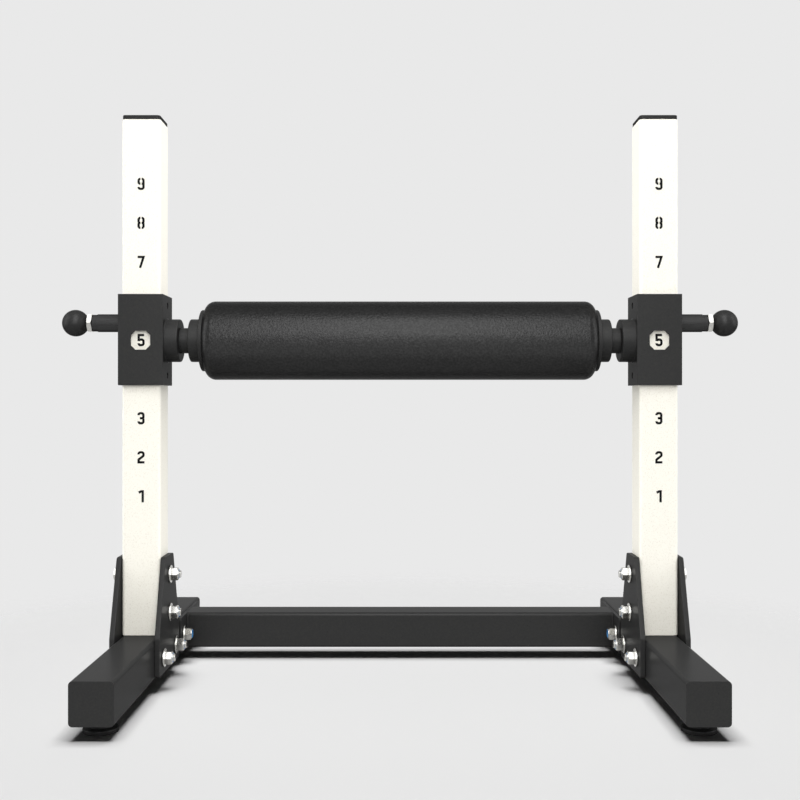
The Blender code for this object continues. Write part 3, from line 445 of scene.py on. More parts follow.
def hexagon_bar(flats: float, low: float, high: float, chamfer: float, both: bool = False,
                per_side: int = 12) -> Shape:
    """A hexagon along +Z whose top is chamfered by a cone, with a corner towards Y.

    Args:
        flats: size across the flats.
        low: its lower end.
        high: its upper end.
        chamfer: how far the cone reaches down at the corners.
        both: whether the lower end is chamfered too.
        per_side: segments in each side, which the chamfer's curve needs.

    Returns:
        A new closed bmesh.
    """
    face_share = 0.97
    # A plain foot is a hair smaller than the ring above it, so that no face between them is empty
    foot_share = 0.999
    half = flats / 2
    inset = half * face_share
    corner = half / math.cos(math.pi / 6)
    bm = bmesh.new()
    rings: list[list[bmesh.types.BMVert]] = [[] for _ in range(4)]
    for step in range(6 * per_side):
        angle = 2 * math.pi * step / (6 * per_side)
        radius = half / math.cos((angle + math.pi / 6) % (math.pi / 3) - math.pi / 6)
        drop = chamfer * (radius - inset) / (corner - inset)
        x, y = math.sin(angle + math.pi / 6), math.cos(angle + math.pi / 6)
        foot_drop = drop if both else 0.0
        foot_inset = inset if both else radius * foot_share
        for ring, (reach, height) in zip(rings, (
                (foot_inset, low), (radius, low + foot_drop), (radius, high - drop), (inset, high))):
            ring.append(bm.verts.new((reach * x, reach * y, height)))
    for lower, upper in zip(rings, rings[1:]):
        for index in range(len(lower)):
            after = (index + 1) % len(lower)
            bm.faces.new((lower[index], lower[after], upper[after], upper[index]))
    bm.faces.new(rings[-1])
    bm.faces.new(rings[0])
    bmesh.ops.recalc_face_normals(bm, faces=bm.faces)
    return bm


def as_object(name: str, bm: Shape) -> bpy.types.Object:
    """Put a bmesh in a new linked object and free it.

    Args:
        name: the object's name.
        bm: the shape.

    Returns:
        The object.
    """
    mesh = bpy.data.meshes.new(name)
    bm.to_mesh(mesh)
    bm.free()
    obj = bpy.data.objects.new(name, mesh)
    bpy.context.scene.collection.objects.link(obj)
    return obj


def cut(target: Shape, tool: Shape) -> Shape:
    """Cut one closed shape out of another by a Boolean. Both are freed.

    Args:
        target: the shape to work on.
        tool: the shape that is taken away.

    Returns:
        A new bmesh with the result.
    """
    body, cutter = as_object("carved_body", target), as_object("carving_tool", tool)
    boolean = body.modifiers.new("carve", "BOOLEAN")
    boolean.operation = "DIFFERENCE"
    boolean.object = cutter
    bpy.context.view_layer.update()
    result = bmesh.new()
    result.from_object(body, bpy.context.evaluated_depsgraph_get())
    for obj in (body, cutter):
        mesh = obj.data
        bpy.data.objects.remove(obj, do_unlink=True)
        bpy.data.meshes.remove(mesh)
    return result


def joined(*shapes: Shape) -> Shape:
    """Gather several shapes in one bmesh and free them.

    Args:
        shapes: the shapes.

    Returns:
        A new bmesh with all of them.
    """
    whole = bmesh.new()
    for shape in shapes:
        mesh = bpy.data.meshes.new("gathered")
        shape.to_mesh(mesh)
        shape.free()
        whole.from_mesh(mesh)
        bpy.data.meshes.remove(mesh)
    return whole


def moved(bm: Shape, place: Matrix) -> Shape:
    """Place a shape by a transform without a mirror, and return it."""
    bmesh.ops.transform(bm, matrix=place, verts=bm.verts)
    return bm


def lying(sign: int, centre: Sequence[float], turn: float = 0.0) -> Matrix:
    """The transform that lays a shape's +Z towards +X or -X.

    Args:
        sign: 1 for +X and -1 for -X.
        centre: where the shape's origin goes.
        turn: turn about its own length, in radians.

    Returns:
        The transform.
    """
    lay = Matrix.Rotation(sign * math.pi / 2, 4, "Y")
    return Matrix.Translation(centre) @ Matrix.Rotation(turn, 4, "X") @ lay


def drills(radius: float, length: float, sides: int, x: float, heights: Sequence[float]) -> Shape:
    """Rods along X, one above another, for a row of holes through a wall.

    Args:
        radius: radius of the holes.
        length: length of each rod.
        sides: segments round each rod.
        x: middle of the wall.
        heights: height of each hole.

    Returns:
        A new bmesh with all the rods.
    """
    rods = []
    for height in heights:
        rod = bmesh.new()
        bmesh.ops.create_cone(rod, cap_ends=True, segments=sides, radius1=radius, radius2=radius,
                              depth=length)
        rods.append(moved(rod, lying(1, (x, 0, height))))
    return joined(*rods)


def show(name: str, bm: Shape, finish: Finish, body: str, *nodes: str,
         edge_round: float = 0.0, sharp_degrees: float = 35.0) -> bpy.types.Object:
    """Make a piece of a shape, dress it and let it ride on its body.

    Args:
        name: the piece's name.
        bm: its shape, in place.
        finish: its finish.
        body: the body that it moves with.
        nodes: the solids that it stands for.
        edge_round: radius put on edges of more than 40 degrees.
        sharp_degrees: faces that meet at more than this stay sharp.

    Returns:
        The piece.
    """
    piece = as_object(name, bm)
    mesh = piece.data
    mesh.materials.clear()
    mesh.materials.append(finish.material())
    mesh.shade_smooth()
    mesh.set_sharp_from_angle(angle=math.radians(sharp_degrees))
    if edge_round:
        bevel = piece.modifiers.new("edge_round", "BEVEL")
        bevel.limit_method = "ANGLE"
        bevel.angle_limit = math.radians(40)
        bevel.width = edge_round
        bevel.segments = 2
        bevel.use_clamp_overlap = True
    normals = piece.modifiers.new("even_shading", "WEIGHTED_NORMAL")
    normals.keep_sharp = True
    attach(piece, body)
    if nodes:
        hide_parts(*nodes)
    LOG.info("%s: %d faces, rides on %s", name, len(mesh.polygons), body)
    return piece


# Sizes and places shared by the sub-assemblies

@dataclass(frozen=True)
class Layout:
    """Where the stand's main lines run, and the sizes that more than one sub-assembly needs."""

    upright_x: float = 0.402
    tube: float = 0.060
    tube_wall: float = 0.003
    tube_corner: float = 0.0055
    gap: float = 0.0003
    foot_bottom: float = 0.0186
    foot_length: float = 0.620
    flange: float = 0.005
    cross_y: float = 0.187
    axis_z: float = 0.5382
    sleeve: float = 0.070
    axle_radius: float = 0.020
    pin_z: float = 0.5659
    pin_travel: float = 0.007
    positions: int = 9
    rest_position: int = 5
    pitch: float = 0.06065
    # Hexagon hardware stays sharp from this angle up, for the sake of its chamfers
    facet_degrees: float = 20.0

    @property
    def foot_mid(self) -> float:
        """Height of the foot tubes' middle."""
        return self.foot_bottom + self.tube / 2

    @property
    def foot_top(self) -> float:
        """Height of the foot tubes' top."""
        return self.foot_bottom + self.tube

    def above_rest(self, position: int) -> float:
        """How far a height position lies above the rest position."""
        return (position - self.rest_position) * self.pitch


LAYOUT = Layout()


class Side(Enum):
    """A side of the stand, as its sign along X."""

    LEFT = -1
    RIGHT = 1

    @property
    def word(self) -> str:
        """The side in the names of pieces."""
        return self.name.lower()

    @property
    def x(self) -> float:
        """Middle of the side's upright."""
        return self.value * LAYOUT.upright_x


class End(Enum):
    """An end of a foot tube, as its sign along Y."""

    FRONT = -1
    REAR = 1


@dataclass
class LevellingFoot:
    """A moulded foot on a threaded stud."""

    end: End
    side: Side
    inset: float = 0.0484
    sole_radius: float = 0.024
    sole_height: float = 0.0055
    collar_radius: float = 0.0148
    stud_radius: float = 0.005
    stud_length: float = 0.018

    def build(self) -> None:
        """Turn the sole, its collar and the stud in one piece."""
        name = f"{self.end.name.lower()}_{self.side.word}_levelling_foot"
        collar = LAYOUT.foot_bottom - LAYOUT.gap
        top = LAYOUT.foot_bottom + self.stud_length
        shape = turned([
            (0, top, 0), (self.stud_radius, top, 0.0006), (self.stud_radius, collar, 0),
            (self.collar_radius, collar, 0.0004), (self.collar_radius, self.sole_height + 0.001, 0.0008),
            (self.sole_radius, self.sole_height, 0.0014), (self.sole_radius, 0, 0.0006), (0, 0, 0),
        ], sides=56)
        place = Matrix.Translation((self.side.x, self.end.value * (LAYOUT.foot_length / 2 - self.inset), 0))
        show(name, moved(shape, place), BLACK_NYLON, name, name)


@dataclass
class BoltKit:
    """M12 bolts with their washers, and locknuts with a nylon insert."""

    shank: float = 0.006
    thread_root: float = 0.0053
    pitch: float = 0.00175
    thread_length: float = 0.021
    flats: float = 0.019
    head: float = 0.0075
    head_chamfer: float = 0.0011
    washer_radius: float = 0.014
    washer: float = 0.0025
    nut: float = 0.012
    nut_chamfer: float = 0.0012
    collar: float = 0.0011
    collar_radius: float = 0.0083
    mouth_radius: float = 0.0073
    rim: float = 0.0009
    insert_depth: float = 0.0022

    @property
    def nut_top(self) -> float:
        """Height of a locknut's top above its washer's seat."""
        return self.washer + self.nut

    def washer_shape(self) -> Shape:
        """A stamped washer with softened rims, seated at 0."""
        return turned([
            (0, self.washer, 0), (self.washer_radius, self.washer, 0.0007),
            (self.washer_radius, 0, 0.0005), (0, 0, 0),
        ], sides=48, steps=3)

    def bolt(self, length: float) -> Shape:
        """A bolt along +Z seated at 0, its shank down to -length.

        Args:
            length: from the washer's seat to the thread's end.

        Returns:
            A new bmesh.
        """
        head = hexagon_bar(self.flats, self.washer / 2, self.washer + self.head, self.head_chamfer)
        profile = [(0, self.washer, 0), (self.shank, self.washer, 0)]
        crest = -length + self.thread_length
        while crest > -length + self.pitch:
            profile += [(self.shank, crest, 0), (self.thread_root, crest - self.pitch / 2, 0)]
            crest -= self.pitch
        profile += [(self.shank, crest, 0), (self.thread_root, -length, 0), (0, -length, 0)]
        return joined(self.washer_shape(), head, turned(profile, sides=28))

    def locknut(self) -> Shape:
        """A locknut along +Z seated at 0, its collar at the top.

        Returns:
            A new bmesh.
        """
        hexagon_top = self.nut_top - self.collar
        body = hexagon_bar(self.flats, self.washer / 2, hexagon_top, self.nut_chamfer)
        root = hexagon_top - 0.001
        rim = turned([
            (self.mouth_radius, self.nut_top - self.rim, 0), (self.mouth_radius, self.nut_top, 0),
            (self.collar_radius, self.nut_top, self.rim), (self.collar_radius, root, 0),
            (self.mouth_radius, root, 0),
        ], sides=48, ring=True)
        return joined(self.washer_shape(), body, rim)

    def insert(self) -> Shape:
        """The locknut's nylon ring, level with the collar's rolled rim.

        Returns:
            A new bmesh.
        """
        inner, outer = self.shank + 0.0001, self.mouth_radius - 0.00005
        low = self.nut_top - self.insert_depth
        return turned([
            (inner, self.nut_top, 0.0002), (outer, self.nut_top, 0), (outer, low, 0), (inner, low, 0),
        ], sides=40, steps=6, ring=True)


@dataclass
class CrossMember:
    """The cross tube between its two welded flanges."""

    flange_width: float = 0.164
    flange_corner: float = 0.005
    flange_round: float = 0.0008
    bottom_inset: float = 0.002
    weld: tuple[float, float, float] = (0.004, 0.065, 0.0592)
    weld_corner: float = 0.006
    weld_round: float = 0.0019
    weld_inset: float = 0.001
    weld_drop: float = 0.0004

    def build(self) -> None:
        """Make the tube, the flanges and their welds as one piece."""
        inner = LAYOUT.upright_x - LAYOUT.tube / 2 - LAYOUT.gap - LAYOUT.flange
        y, middle = LAYOUT.cross_y, LAYOUT.foot_mid
        shapes = [rounded_bar((2 * inner + LAYOUT.flange, LAYOUT.tube, LAYOUT.tube), LAYOUT.tube_corner,
                              Along.X, centre=(0, y, middle))]
        flange = (LAYOUT.flange, self.flange_width, LAYOUT.tube - self.bottom_inset)
        for side in Side:
            flange_centre = (side.value * (inner + LAYOUT.flange / 2), y, middle + self.bottom_inset / 2)
            shapes.append(rounded_bar(flange, self.flange_corner, Along.X, self.flange_round, flange_centre))
            weld_centre = (side.value * (inner - self.weld_inset), y, middle - self.weld_drop)
            shapes.append(rounded_bar(self.weld, self.weld_corner, Along.X, self.weld_round, weld_centre))
        show("cross_tube", joined(*shapes), BLACK_COAT, "frame", "cross_member")


@dataclass
class FrameSide:
    """One side of the frame: foot tube, upright, numbers, cap, gusset plates and hardware."""

    side: Side
    foot_end_round: float = 0.0005
    upright_length: float = 0.8017
    upright_round: float = 0.0005
    selector_radius: float = 0.0064
    cap_inset: float = 0.0007
    cap_thickness: float = 0.0065
    cap_rim: float = 0.0009
    plug_depth: float = 0.016
    plug_corner: float = 0.0025
    gusset: float = 0.008
    gusset_round: float = 0.0009
    gusset_foot_width: float = 0.148
    gusset_top_width: float = 0.059
    gusset_rise: float = 0.1214
    gusset_shoulder: float = 0.004
    gusset_bottom_inset: float = 0.0048
    top_bolt_drop: float = 0.030
    gusset_bolt_pitch: float = 0.060
    foot_bolt_y: float = 0.046
    flange_bolt_y: float = 0.058
    sticks_out: float = 0.0033
    falls_short: float = 0.001
    kit: BoltKit = field(default_factory=BoltKit)

    def build(self) -> None:
        """Make every fixed piece of the side."""
        self.foot()
        self.upright()
        HeightNumbers(self.side).build()
        self.cap()
        self.gussets()
        self.hardware()

    def foot(self) -> None:
        """The foot tube with its welded and ground end plates."""
        bar = rounded_bar((LAYOUT.tube, LAYOUT.foot_length, LAYOUT.tube), LAYOUT.tube_corner, Along.Y,
                          self.foot_end_round, (self.side.x, 0, LAYOUT.foot_mid))
        show(f"{self.side.word}_foot", bar, BLACK_COAT, "frame", f"{self.side.word}_foot_tube")

    def upright(self) -> None:
        """The upright tube with the selector holes through its outer wall."""
        wall = LAYOUT.tube_wall
        hollow = LAYOUT.tube - 2 * wall
        centre = (self.side.x, 0, LAYOUT.foot_top + LAYOUT.gap + self.upright_length / 2)
        bar = rounded_bar((LAYOUT.tube, LAYOUT.tube, self.upright_length), LAYOUT.tube_corner, Along.Z,
                          centre=centre)
        core = rounded_bar((hollow, hollow, 2 * self.upright_length), LAYOUT.tube_corner - wall, Along.Z,
                           centre=centre)
        wall_x = self.side.value * (LAYOUT.upright_x + LAYOUT.tube / 2 - wall / 2)
        heights = [LAYOUT.pin_z + LAYOUT.above_rest(position) for position in range(1, LAYOUT.positions + 1)]
        tube = cut(cut(bar, core), drills(self.selector_radius, 4 * wall, 32, wall_x, heights))
        show(f"{self.side.word}_post", tube, IVORY_COAT, "frame", f"{self.side.word}_upright",
             edge_round=self.upright_round)

    def cap(self) -> None:
        """The moulded cap with its plug, which overlap a little."""
        overlap = 0.001
        top = LAYOUT.tube - 2 * self.cap_inset
        low = LAYOUT.foot_top + self.upright_length + 2 * LAYOUT.gap
        middle = low + self.cap_thickness / 2
        plate = rounded_bar((top, top, self.cap_thickness), LAYOUT.tube_corner - self.cap_inset / 2, Along.Z,
                            centre=(self.side.x, 0, middle))
        round_edges(plate, [e for e in plate.edges if min(v.co.z for v in e.verts) > middle], self.cap_rim, 4)
        plug = LAYOUT.tube - 2 * LAYOUT.tube_wall - 2 * LAYOUT.gap
        stem = rounded_bar((plug, plug, self.plug_depth), self.plug_corner, Along.Z,
                           centre=(self.side.x, 0, low + overlap - self.plug_depth / 2))
        show(f"{self.side.word}_cap", joined(plate, stem), BLACK_NYLON, "frame",
             f"{self.side.word}_upright_cap")

    def gussets(self) -> None:
        """The outer and the inner gusset plate."""
        foot, top = self.gusset_foot_width / 2, self.gusset_top_width / 2
        bottom = self.gusset_bottom_inset - LAYOUT.tube
        outline = rounded_path([
            (foot, bottom, 0.004), (foot, self.gusset_shoulder, 0.012), (top, self.gusset_rise, 0.007),
            (-top, self.gusset_rise, 0.007), (-foot, self.gusset_shoulder, 0.012), (-foot, bottom, 0.004),
        ], closed=True)
        reach = LAYOUT.tube / 2 + LAYOUT.gap
        for word, inner in (("outer", reach), ("inner", -reach - self.gusset)):
            x = self.side.x + (inner if self.side is Side.RIGHT else -inner - self.gusset)
            plate = bmesh.new()
            face = plate.faces.new([plate.verts.new((x, y, LAYOUT.foot_top + z)) for y, z in outline])
            thicken(plate, [face], (self.gusset, 0, 0))
            rims = [e for e in plate.edges if abs(e.verts[0].co.x - e.verts[1].co.x) < 1e-6]
            round_edges(plate, rims, self.gusset_round, 3)
            show(f"{self.side.word}_{word}_plate", plate, BLACK_COAT, "frame",
                 f"{self.side.word}_{word}_gusset")

    def hardware(self) -> None:
        """The bolts and locknuts, heads outside."""
        outer, inner = LAYOUT.upright_x + LAYOUT.tube / 2, LAYOUT.upright_x - LAYOUT.tube / 2
        # Seats of a bolt's head and its nut along X, and how far the bolt stands out of the nut
        gusset = (outer + 2 * LAYOUT.gap + self.gusset, inner - 2 * LAYOUT.gap - self.gusset, self.sticks_out)
        flange = (outer + LAYOUT.gap, inner - 2 * LAYOUT.gap - LAYOUT.flange, -self.falls_short)
        upper = LAYOUT.foot_top + self.gusset_rise - self.top_bolt_drop
        # Each bolt's place, and its nut's turn in degrees
        places = [
            ("upper_gusset", 0.0, upper, gusset, 0),
            ("lower_gusset", 0.0, upper - self.gusset_bolt_pitch, gusset, 0),
            ("front_foot", -self.foot_bolt_y, LAYOUT.foot_mid, gusset, 0),
            ("rear_foot", self.foot_bolt_y, LAYOUT.foot_mid, gusset, -10),
            ("front_flange", LAYOUT.cross_y - self.flange_bolt_y, LAYOUT.foot_mid, flange, 0),
            ("rear_flange", LAYOUT.cross_y + self.flange_bolt_y, LAYOUT.foot_mid, flange, 4),
        ]
        sign = self.side.value
        for word, y, z, (head_x, nut_x, proud), nut_turn in places:
            name = f"{self.side.word}_{word}"
            bolt = self.kit.bolt(head_x - nut_x + self.kit.nut_top + proud)
            nut_seat = lying(-sign, (sign * nut_x, y, z), math.radians(nut_turn))
            show(f"{name}_screw", moved(bolt, lying(sign, (sign * head_x, y, z))), ZINC_PLATE, "frame",
                 f"{name}_bolt", sharp_degrees=LAYOUT.facet_degrees)
            show(f"{name}_locknut", moved(self.kit.locknut(), nut_seat), ZINC_PLATE, "frame",
                 f"{name}_nut", sharp_degrees=LAYOUT.facet_degrees)
            show(f"{name}_insert", moved(self.kit.insert(), nut_seat), NYLON_INSERT, "frame")


class Figure(Enum):
    """The strokes of each number, as paths of (across, up, corner radius) in millimetres."""

    ONE = (((-3.5, 5.8, 0), (0.3, 7.8, 1.2), (2.6, 7.8, 0), (2.6, -9.3, 0)),)
    TWO = (((-3.85, 4.4, 0), (-3.85, 7.8, 2.9), (3.8, 7.8, 2.9), (3.8, 2.3, 2.2), (-3.85, -3.6, 1.6),
            (-3.85, -7.8, 0), (5.3, -7.8, 0)),)
    THREE = (((-3.8, 4.7, 0), (-3.8, 7.8, 2.7), (3.65, 7.8, 2.9), (3.65, 0.0, 2.0), (-1.8, 0.0, 0)),
             ((-1.8, 0.0, 0), (3.65, 0.0, 2.0), (3.65, -7.8, 2.9), (-3.8, -7.8, 2.7), (-3.8, -4.7, 0)))
    FOUR = (((1.4, 9.3, 0), (-4.4, -3.8, 0), (5.3, -3.8, 0)), ((2.3, 1.2, 0), (2.3, -9.3, 0)))
    FIVE = (((4.8, 7.9, 0), (-3.65, 7.9, 0), (-3.65, -1.6, 0)),
            ((-3.2, -0.5, 0), (-1.2, 0.8, 1.0), (3.8, 0.8, 2.9), (3.8, -7.8, 2.9), (-3.7, -7.8, 2.7),
             (-3.7, -4.9, 0)))
    SIX = (((0.9, 7.8, 0), (3.8, 7.8, 2.8), (3.8, 4.7, 0)),
           ((-0.9, 7.8, 0), (-3.8, 7.8, 2.8), (-3.8, -7.8, 2.8), (-0.9, -7.8, 0)),
           ((0.9, -7.8, 0), (3.8, -7.8, 2.8), (3.8, -0.2, 2.6), (0.9, -0.2, 0)),
           ((-0.9, -0.2, 0), (-3.8, -0.2, 0)))
    SEVEN = (((-5.4, 7.8, 0), (3.9, 7.8, 0), (-1.6, -9.3, 0)),)
    EIGHT = tuple(((0.9 * way, top, 0), (3.8 * way, top, 2.8), (3.8 * way, waist, 2.1), (0.9 * way, waist, 0))
                  for way, top, waist in ((-1, 7.8, 0.0), (1, 7.8, 0.0), (-1, -7.8, -0.2), (1, -7.8, -0.2)))
    NINE = (((-0.9, 7.8, 0), (-3.8, 7.8, 2.8), (-3.8, 0.2, 2.6), (-0.9, 0.2, 0)),
            ((0.9, 7.8, 0), (3.8, 7.8, 2.8), (3.8, -7.8, 2.8), (-3.8, -7.8, 2.8), (-3.8, -4.7, 0)),
            ((0.9, 0.2, 0), (3.8, 0.2, 0)))


@dataclass
class HeightNumbers:
    """The printed numbers 1 to 9 on the front of one upright."""

    side: Side
    stroke: float = 0.0036
    rest_height: float = 0.5376
    ink: float = 0.00015
    longest_mitre: float = 2.5

    def build(self) -> None:
        """Print all nine numbers as one piece."""
        strokes = [self.stroke_shape(path, self.rest_height + LAYOUT.above_rest(position))
                   for position, figure in enumerate(Figure, start=1) for path in figure.value]
        show(f"{self.side.word}_height_numbers", joined(*strokes), NUMBER_ENAMEL, "frame")

    def stroke_shape(self, path: Sequence[Corner], height: float) -> Shape:
        """One stroke of flat ink: a ribbon with mitred joints and square ends.

        Args:
            path: the stroke's corners in millimetres, with their radii.
            height: the number's middle.

        Returns:
            The stroke, in place.
        """
        points = [Vector(point) / 1000 for point in rounded_path(path, steps=8)]
        shape = bmesh.new()
        borders = []
        for index, point in enumerate(points):
            back = (point - points[index - 1]).normalized() if index else None
            ahead = (points[index + 1] - point).normalized() if index < len(points) - 1 else None
            along = ((back or ahead) + (ahead or back)).normalized()
            reach = self.stroke / 2 / max(1 / self.longest_mitre, along.dot(ahead or back))
            across = Vector((-along.y, along.x)) * reach
            borders.append([shape.verts.new((*(point + across * way), 0.0)) for way in (1, -1)])
        faces = [shape.faces.new((*one, *reversed(two))) for one, two in zip(borders, borders[1:])]
        thicken(shape, faces, (0, 0, self.ink))
        upright = Matrix.Rotation(math.pi / 2, 4, "X")
        return moved(shape, Matrix.Translation((self.side.x, -LAYOUT.tube / 2, height)) @ upright)


@dataclass
class CarriageSide:
    """One side of the carriage: the sleeve with its boss, and the plunger's barrel."""

    side: Side
    wall: float = 0.003
    corner: float = 0.001
    inner_corner: float = 0.0015
    end_round: float = 0.0005
    height: float = 0.1414
    window: tuple[float, float] = (0.0306, 0.0296)
    window_corner: float = 0.0070
    window_drop: float = 0.0008
    button_radius: float = 0.0052
    button_rise: float = 0.055
    boss_radius: float = 0.03375
    boss_length: float = 0.0215
    boss_root: float = 0.0015
    barrel_radius: float = 0.0141
    barrel_length: float = 0.0394
    barrel_end_wall: float = 0.004
    skirt_overlap: float = 0.003

    def build(self) -> None:
        """Make the sleeve and the barrel."""
        self.sleeve()
        self.barrel()

    def sleeve(self) -> None:
        """The sleeve with its window, its button holes and the bored boss with its weld."""
        size, sign, x = LAYOUT.sleeve, self.side.value, self.side.x
        half, inside, thickness = size / 2, size - 2 * self.wall, 4 * self.wall
        centre = (x, 0, LAYOUT.axis_z)
        shell = rounded_bar((size, size, self.height), self.corner, Along.Z, self.end_round, centre)
        core = rounded_bar((inside, inside, 2 * self.height), self.inner_corner, Along.Z, centre=centre)
        width, height = self.window
        window = rounded_bar((width, thickness, height), self.window_corner, Along.Y,
                             centre=(x, -half, LAYOUT.axis_z - self.window_drop), segments=1)
        buttons = drills(self.button_radius, 3 * self.wall, 24, x - sign * (half - self.wall / 2),
                         [LAYOUT.axis_z - self.button_rise, LAYOUT.axis_z + self.button_rise])
        for tool in (core, window, buttons):
            shell = cut(shell, tool)
        bore, tip, root = LAYOUT.axle_radius + LAYOUT.gap, half + self.boss_length, half - self.boss_root
        boss = turned([
            (bore, tip, 0.0004), (self.boss_radius, tip, 0.002), (self.boss_radius, root, 0), (bore, root, 0),
        ], sides=88, steps=5, ring=True)
        weld = turned([
            (self.boss_radius + 0.0016, half + 0.0001, 0), (self.boss_radius - 0.0005, half + 0.0018, 0),
            (self.boss_radius - 0.001, half - 0.001, 0), (self.boss_radius + 0.0014, half - 0.001, 0),
        ], sides=88, ring=True)
        boss = moved(joined(boss, weld), lying(-sign, centre))
        show(f"{self.side.word}_carriage_sleeve", joined(shell, boss), BLACK_COAT, "carriage",
             f"{self.side.word}_sleeve")

    def barrel(self) -> None:
        """The plunger's fixed barrel, with the pocket that the pin's skirt slides in."""
        skirt, bore, rod = 0.0135, 0.009, 0.0053
        start = LAYOUT.sleeve / 2 + LAYOUT.gap
        end = start + self.barrel_length
        pocket_floor = end - self.skirt_overlap - LAYOUT.pin_travel - LAYOUT.gap
        end_wall = pocket_floor - self.barrel_end_wall
        shape = turned([
            (skirt, pocket_floor, 0), (skirt, end, 0), (self.barrel_radius, end, 0.0005),
            (self.barrel_radius, start, 0), (bore, start, 0), (bore, end_wall, 0), (rod, end_wall, 0),
            (rod, pocket_floor, 0),
        ], sides=64, ring=True)
        place = lying(self.side.value, (self.side.x, 0, LAYOUT.pin_z))
        show(f"{self.side.word}_barrel", moved(shape, place), BLACKENED_STEEL, "carriage",
             f"{self.side.word}_pin_barrel")


@dataclass
class Axle:
    """The tube from boss to boss that the roller turns on."""

    wall: float = 0.004
    seat_floor: float = 0.0035
    end_round: float = 0.0008

    def build(self) -> None:
        """Turn the tube."""
        half = LAYOUT.upright_x - LAYOUT.sleeve / 2 - self.seat_floor - LAYOUT.gap
        outer = LAYOUT.axle_radius
        bore = outer - self.wall
        shaft = turned([
            (bore, half, 0), (outer, half, self.end_round), (outer, -half, self.end_round), (bore, -half, 0),
        ], sides=72, steps=3, ring=True)
        show("axle_tube", moved(shaft, lying(1, (0, 0, LAYOUT.axis_z))), BLACK_COAT, "carriage", "axle")


@dataclass
class Plunger:
    """Pull pin, jam nut and ball knob of one side, which slide together."""

    side: Side
    ball_radius: float = 0.021
    ball_flat: float = 0.0901
    flat_to_centre: float = 0.0199
    nut_flats: float = 0.027
    nut_thickness: float = 0.0075
    nut_chamfer: float = 0.0009

    def build(self) -> None:
        """Make the three pieces."""
        word = self.side.word
        body = f"{word}_plunger"
        place = lying(self.side.value, (self.side.x, 0, LAYOUT.pin_z))
        show(f"{word}_pin", moved(self.pin(), place), BLACKENED_STEEL, body, f"{word}_pull_pin")
        low = self.ball_flat - LAYOUT.gap - self.nut_thickness
        nut = hexagon_bar(self.nut_flats, low, low + self.nut_thickness, self.nut_chamfer, both=True)
        show(f"{word}_thin_nut", moved(nut, place), ZINC_PLATE, body, f"{word}_jam_nut",
             sharp_degrees=LAYOUT.facet_degrees)
        show(f"{word}_knob", moved(self.ball(), place), KNOB_PHENOLIC, body, f"{word}_ball_knob")

    def pin(self) -> Shape:
        """The pin with its shoulder, rod and skirt.

        Returns:
            A new bmesh along +Z.
        """
        tip, shoulder, skirt, end = 0.0305, 0.045, 0.0717, 0.082
        pin, rod, collar, skirt_radius = 0.006, 0.005, 0.0087, 0.0132
        collar_end = shoulder + 0.003
        return turned([
            (0, end, 0), (skirt_radius, end, 0.0006), (skirt_radius, skirt, 0.0003), (rod, skirt, 0),
            (rod, collar_end, 0), (collar, collar_end, 0.0003), (collar, shoulder, 0.0003),
            (pin, shoulder, 0), (pin, tip, 0.0012), (0, tip, 0),
        ], sides=56)

    def ball(self) -> Shape:
        """The ball with the flat at its neck.

        Returns:
            A new bmesh along +Z.
        """
        ball = bmesh.new()
        bmesh.ops.create_uvsphere(ball, u_segments=72, v_segments=48, radius=self.ball_radius)
        sliced = bmesh.ops.bisect_plane(
            ball, geom=[*ball.verts, *ball.edges, *ball.faces], plane_co=(0, 0, -self.flat_to_centre),
            plane_no=(0, 0, -1), clear_outer=True,
        )
        rim = [e for e in sliced["geom_cut"] if isinstance(e, bmesh.types.BMEdge)]
        bmesh.ops.contextual_create(ball, geom=rim)
        bmesh.ops.recalc_face_normals(ball, faces=ball.faces)
        return moved(ball, Matrix.Translation((0, 0, self.ball_flat + self.flat_to_centre)))


@dataclass
class FoamPad:
    """The roller's foam sleeve with rolled shoulders."""

    radius: float = 0.0618
    half: float = 0.306
    bore: float = 0.0383
    shoulder: float = 0.016

    def build(self) -> None:
        """Turn the foam and divide it along its length."""
        shape = turned([
            (self.bore, self.half, 0), (self.radius, self.half, self.shoulder),
            (self.radius, -self.half, self.shoulder), (self.bore, -self.half, 0),
        ], sides=128, steps=12, ring=True)
        long_edges = [e for e in shape.edges if abs((e.verts[0].co - e.verts[1].co).z) > self.half]
        bmesh.ops.subdivide_edges(shape, edges=long_edges, cuts=40, use_grid_fill=True)
        piece = show("roller_foam", moved(shape, lying(1, (0, 0, LAYOUT.axis_z))), ROLLER_FOAM, "roller",
                     "foam_pad")


@dataclass
class Hub:
    """One hub of the roller: neck, disc and spigot."""

    side: Side
    end: float = 0.330
    neck_radius: float = 0.03375
    neck_length: float = 0.018
    disc_radius: float = 0.0483
    disc: float = 0.0057
    lip_radius: float = 0.0215
    lip: float = 0.002
    housing_radius: float = 0.0263
    spigot_radius: float = 0.0347
    spigot_length: float = 0.020

    def build(self) -> None:
        """Turn the hub."""
        disc_out = self.end - self.neck_length
        disc_in = disc_out - self.disc
        spigot_end, housing_end = disc_in - self.spigot_length, self.end - self.lip
        shape = turned([
            (self.lip_radius, self.end, 0.0004), (self.neck_radius, self.end, 0.002),
            (self.neck_radius, disc_out, 0.001), (self.disc_radius, disc_out, 0.0016),
            (self.disc_radius, disc_in, 0), (self.spigot_radius, disc_in, 0),
            (self.spigot_radius, spigot_end, 0), (self.housing_radius, spigot_end, 0),
            (self.housing_radius, housing_end, 0), (self.lip_radius, housing_end, 0),
        ], sides=96, steps=5, ring=True)
        place = lying(self.side.value, (0, 0, LAYOUT.axis_z))
        show(f"{self.side.word}_hub", moved(shape, place), BLACK_COAT, "roller",
             f"{self.side.word}_roller_hub")


# Studio

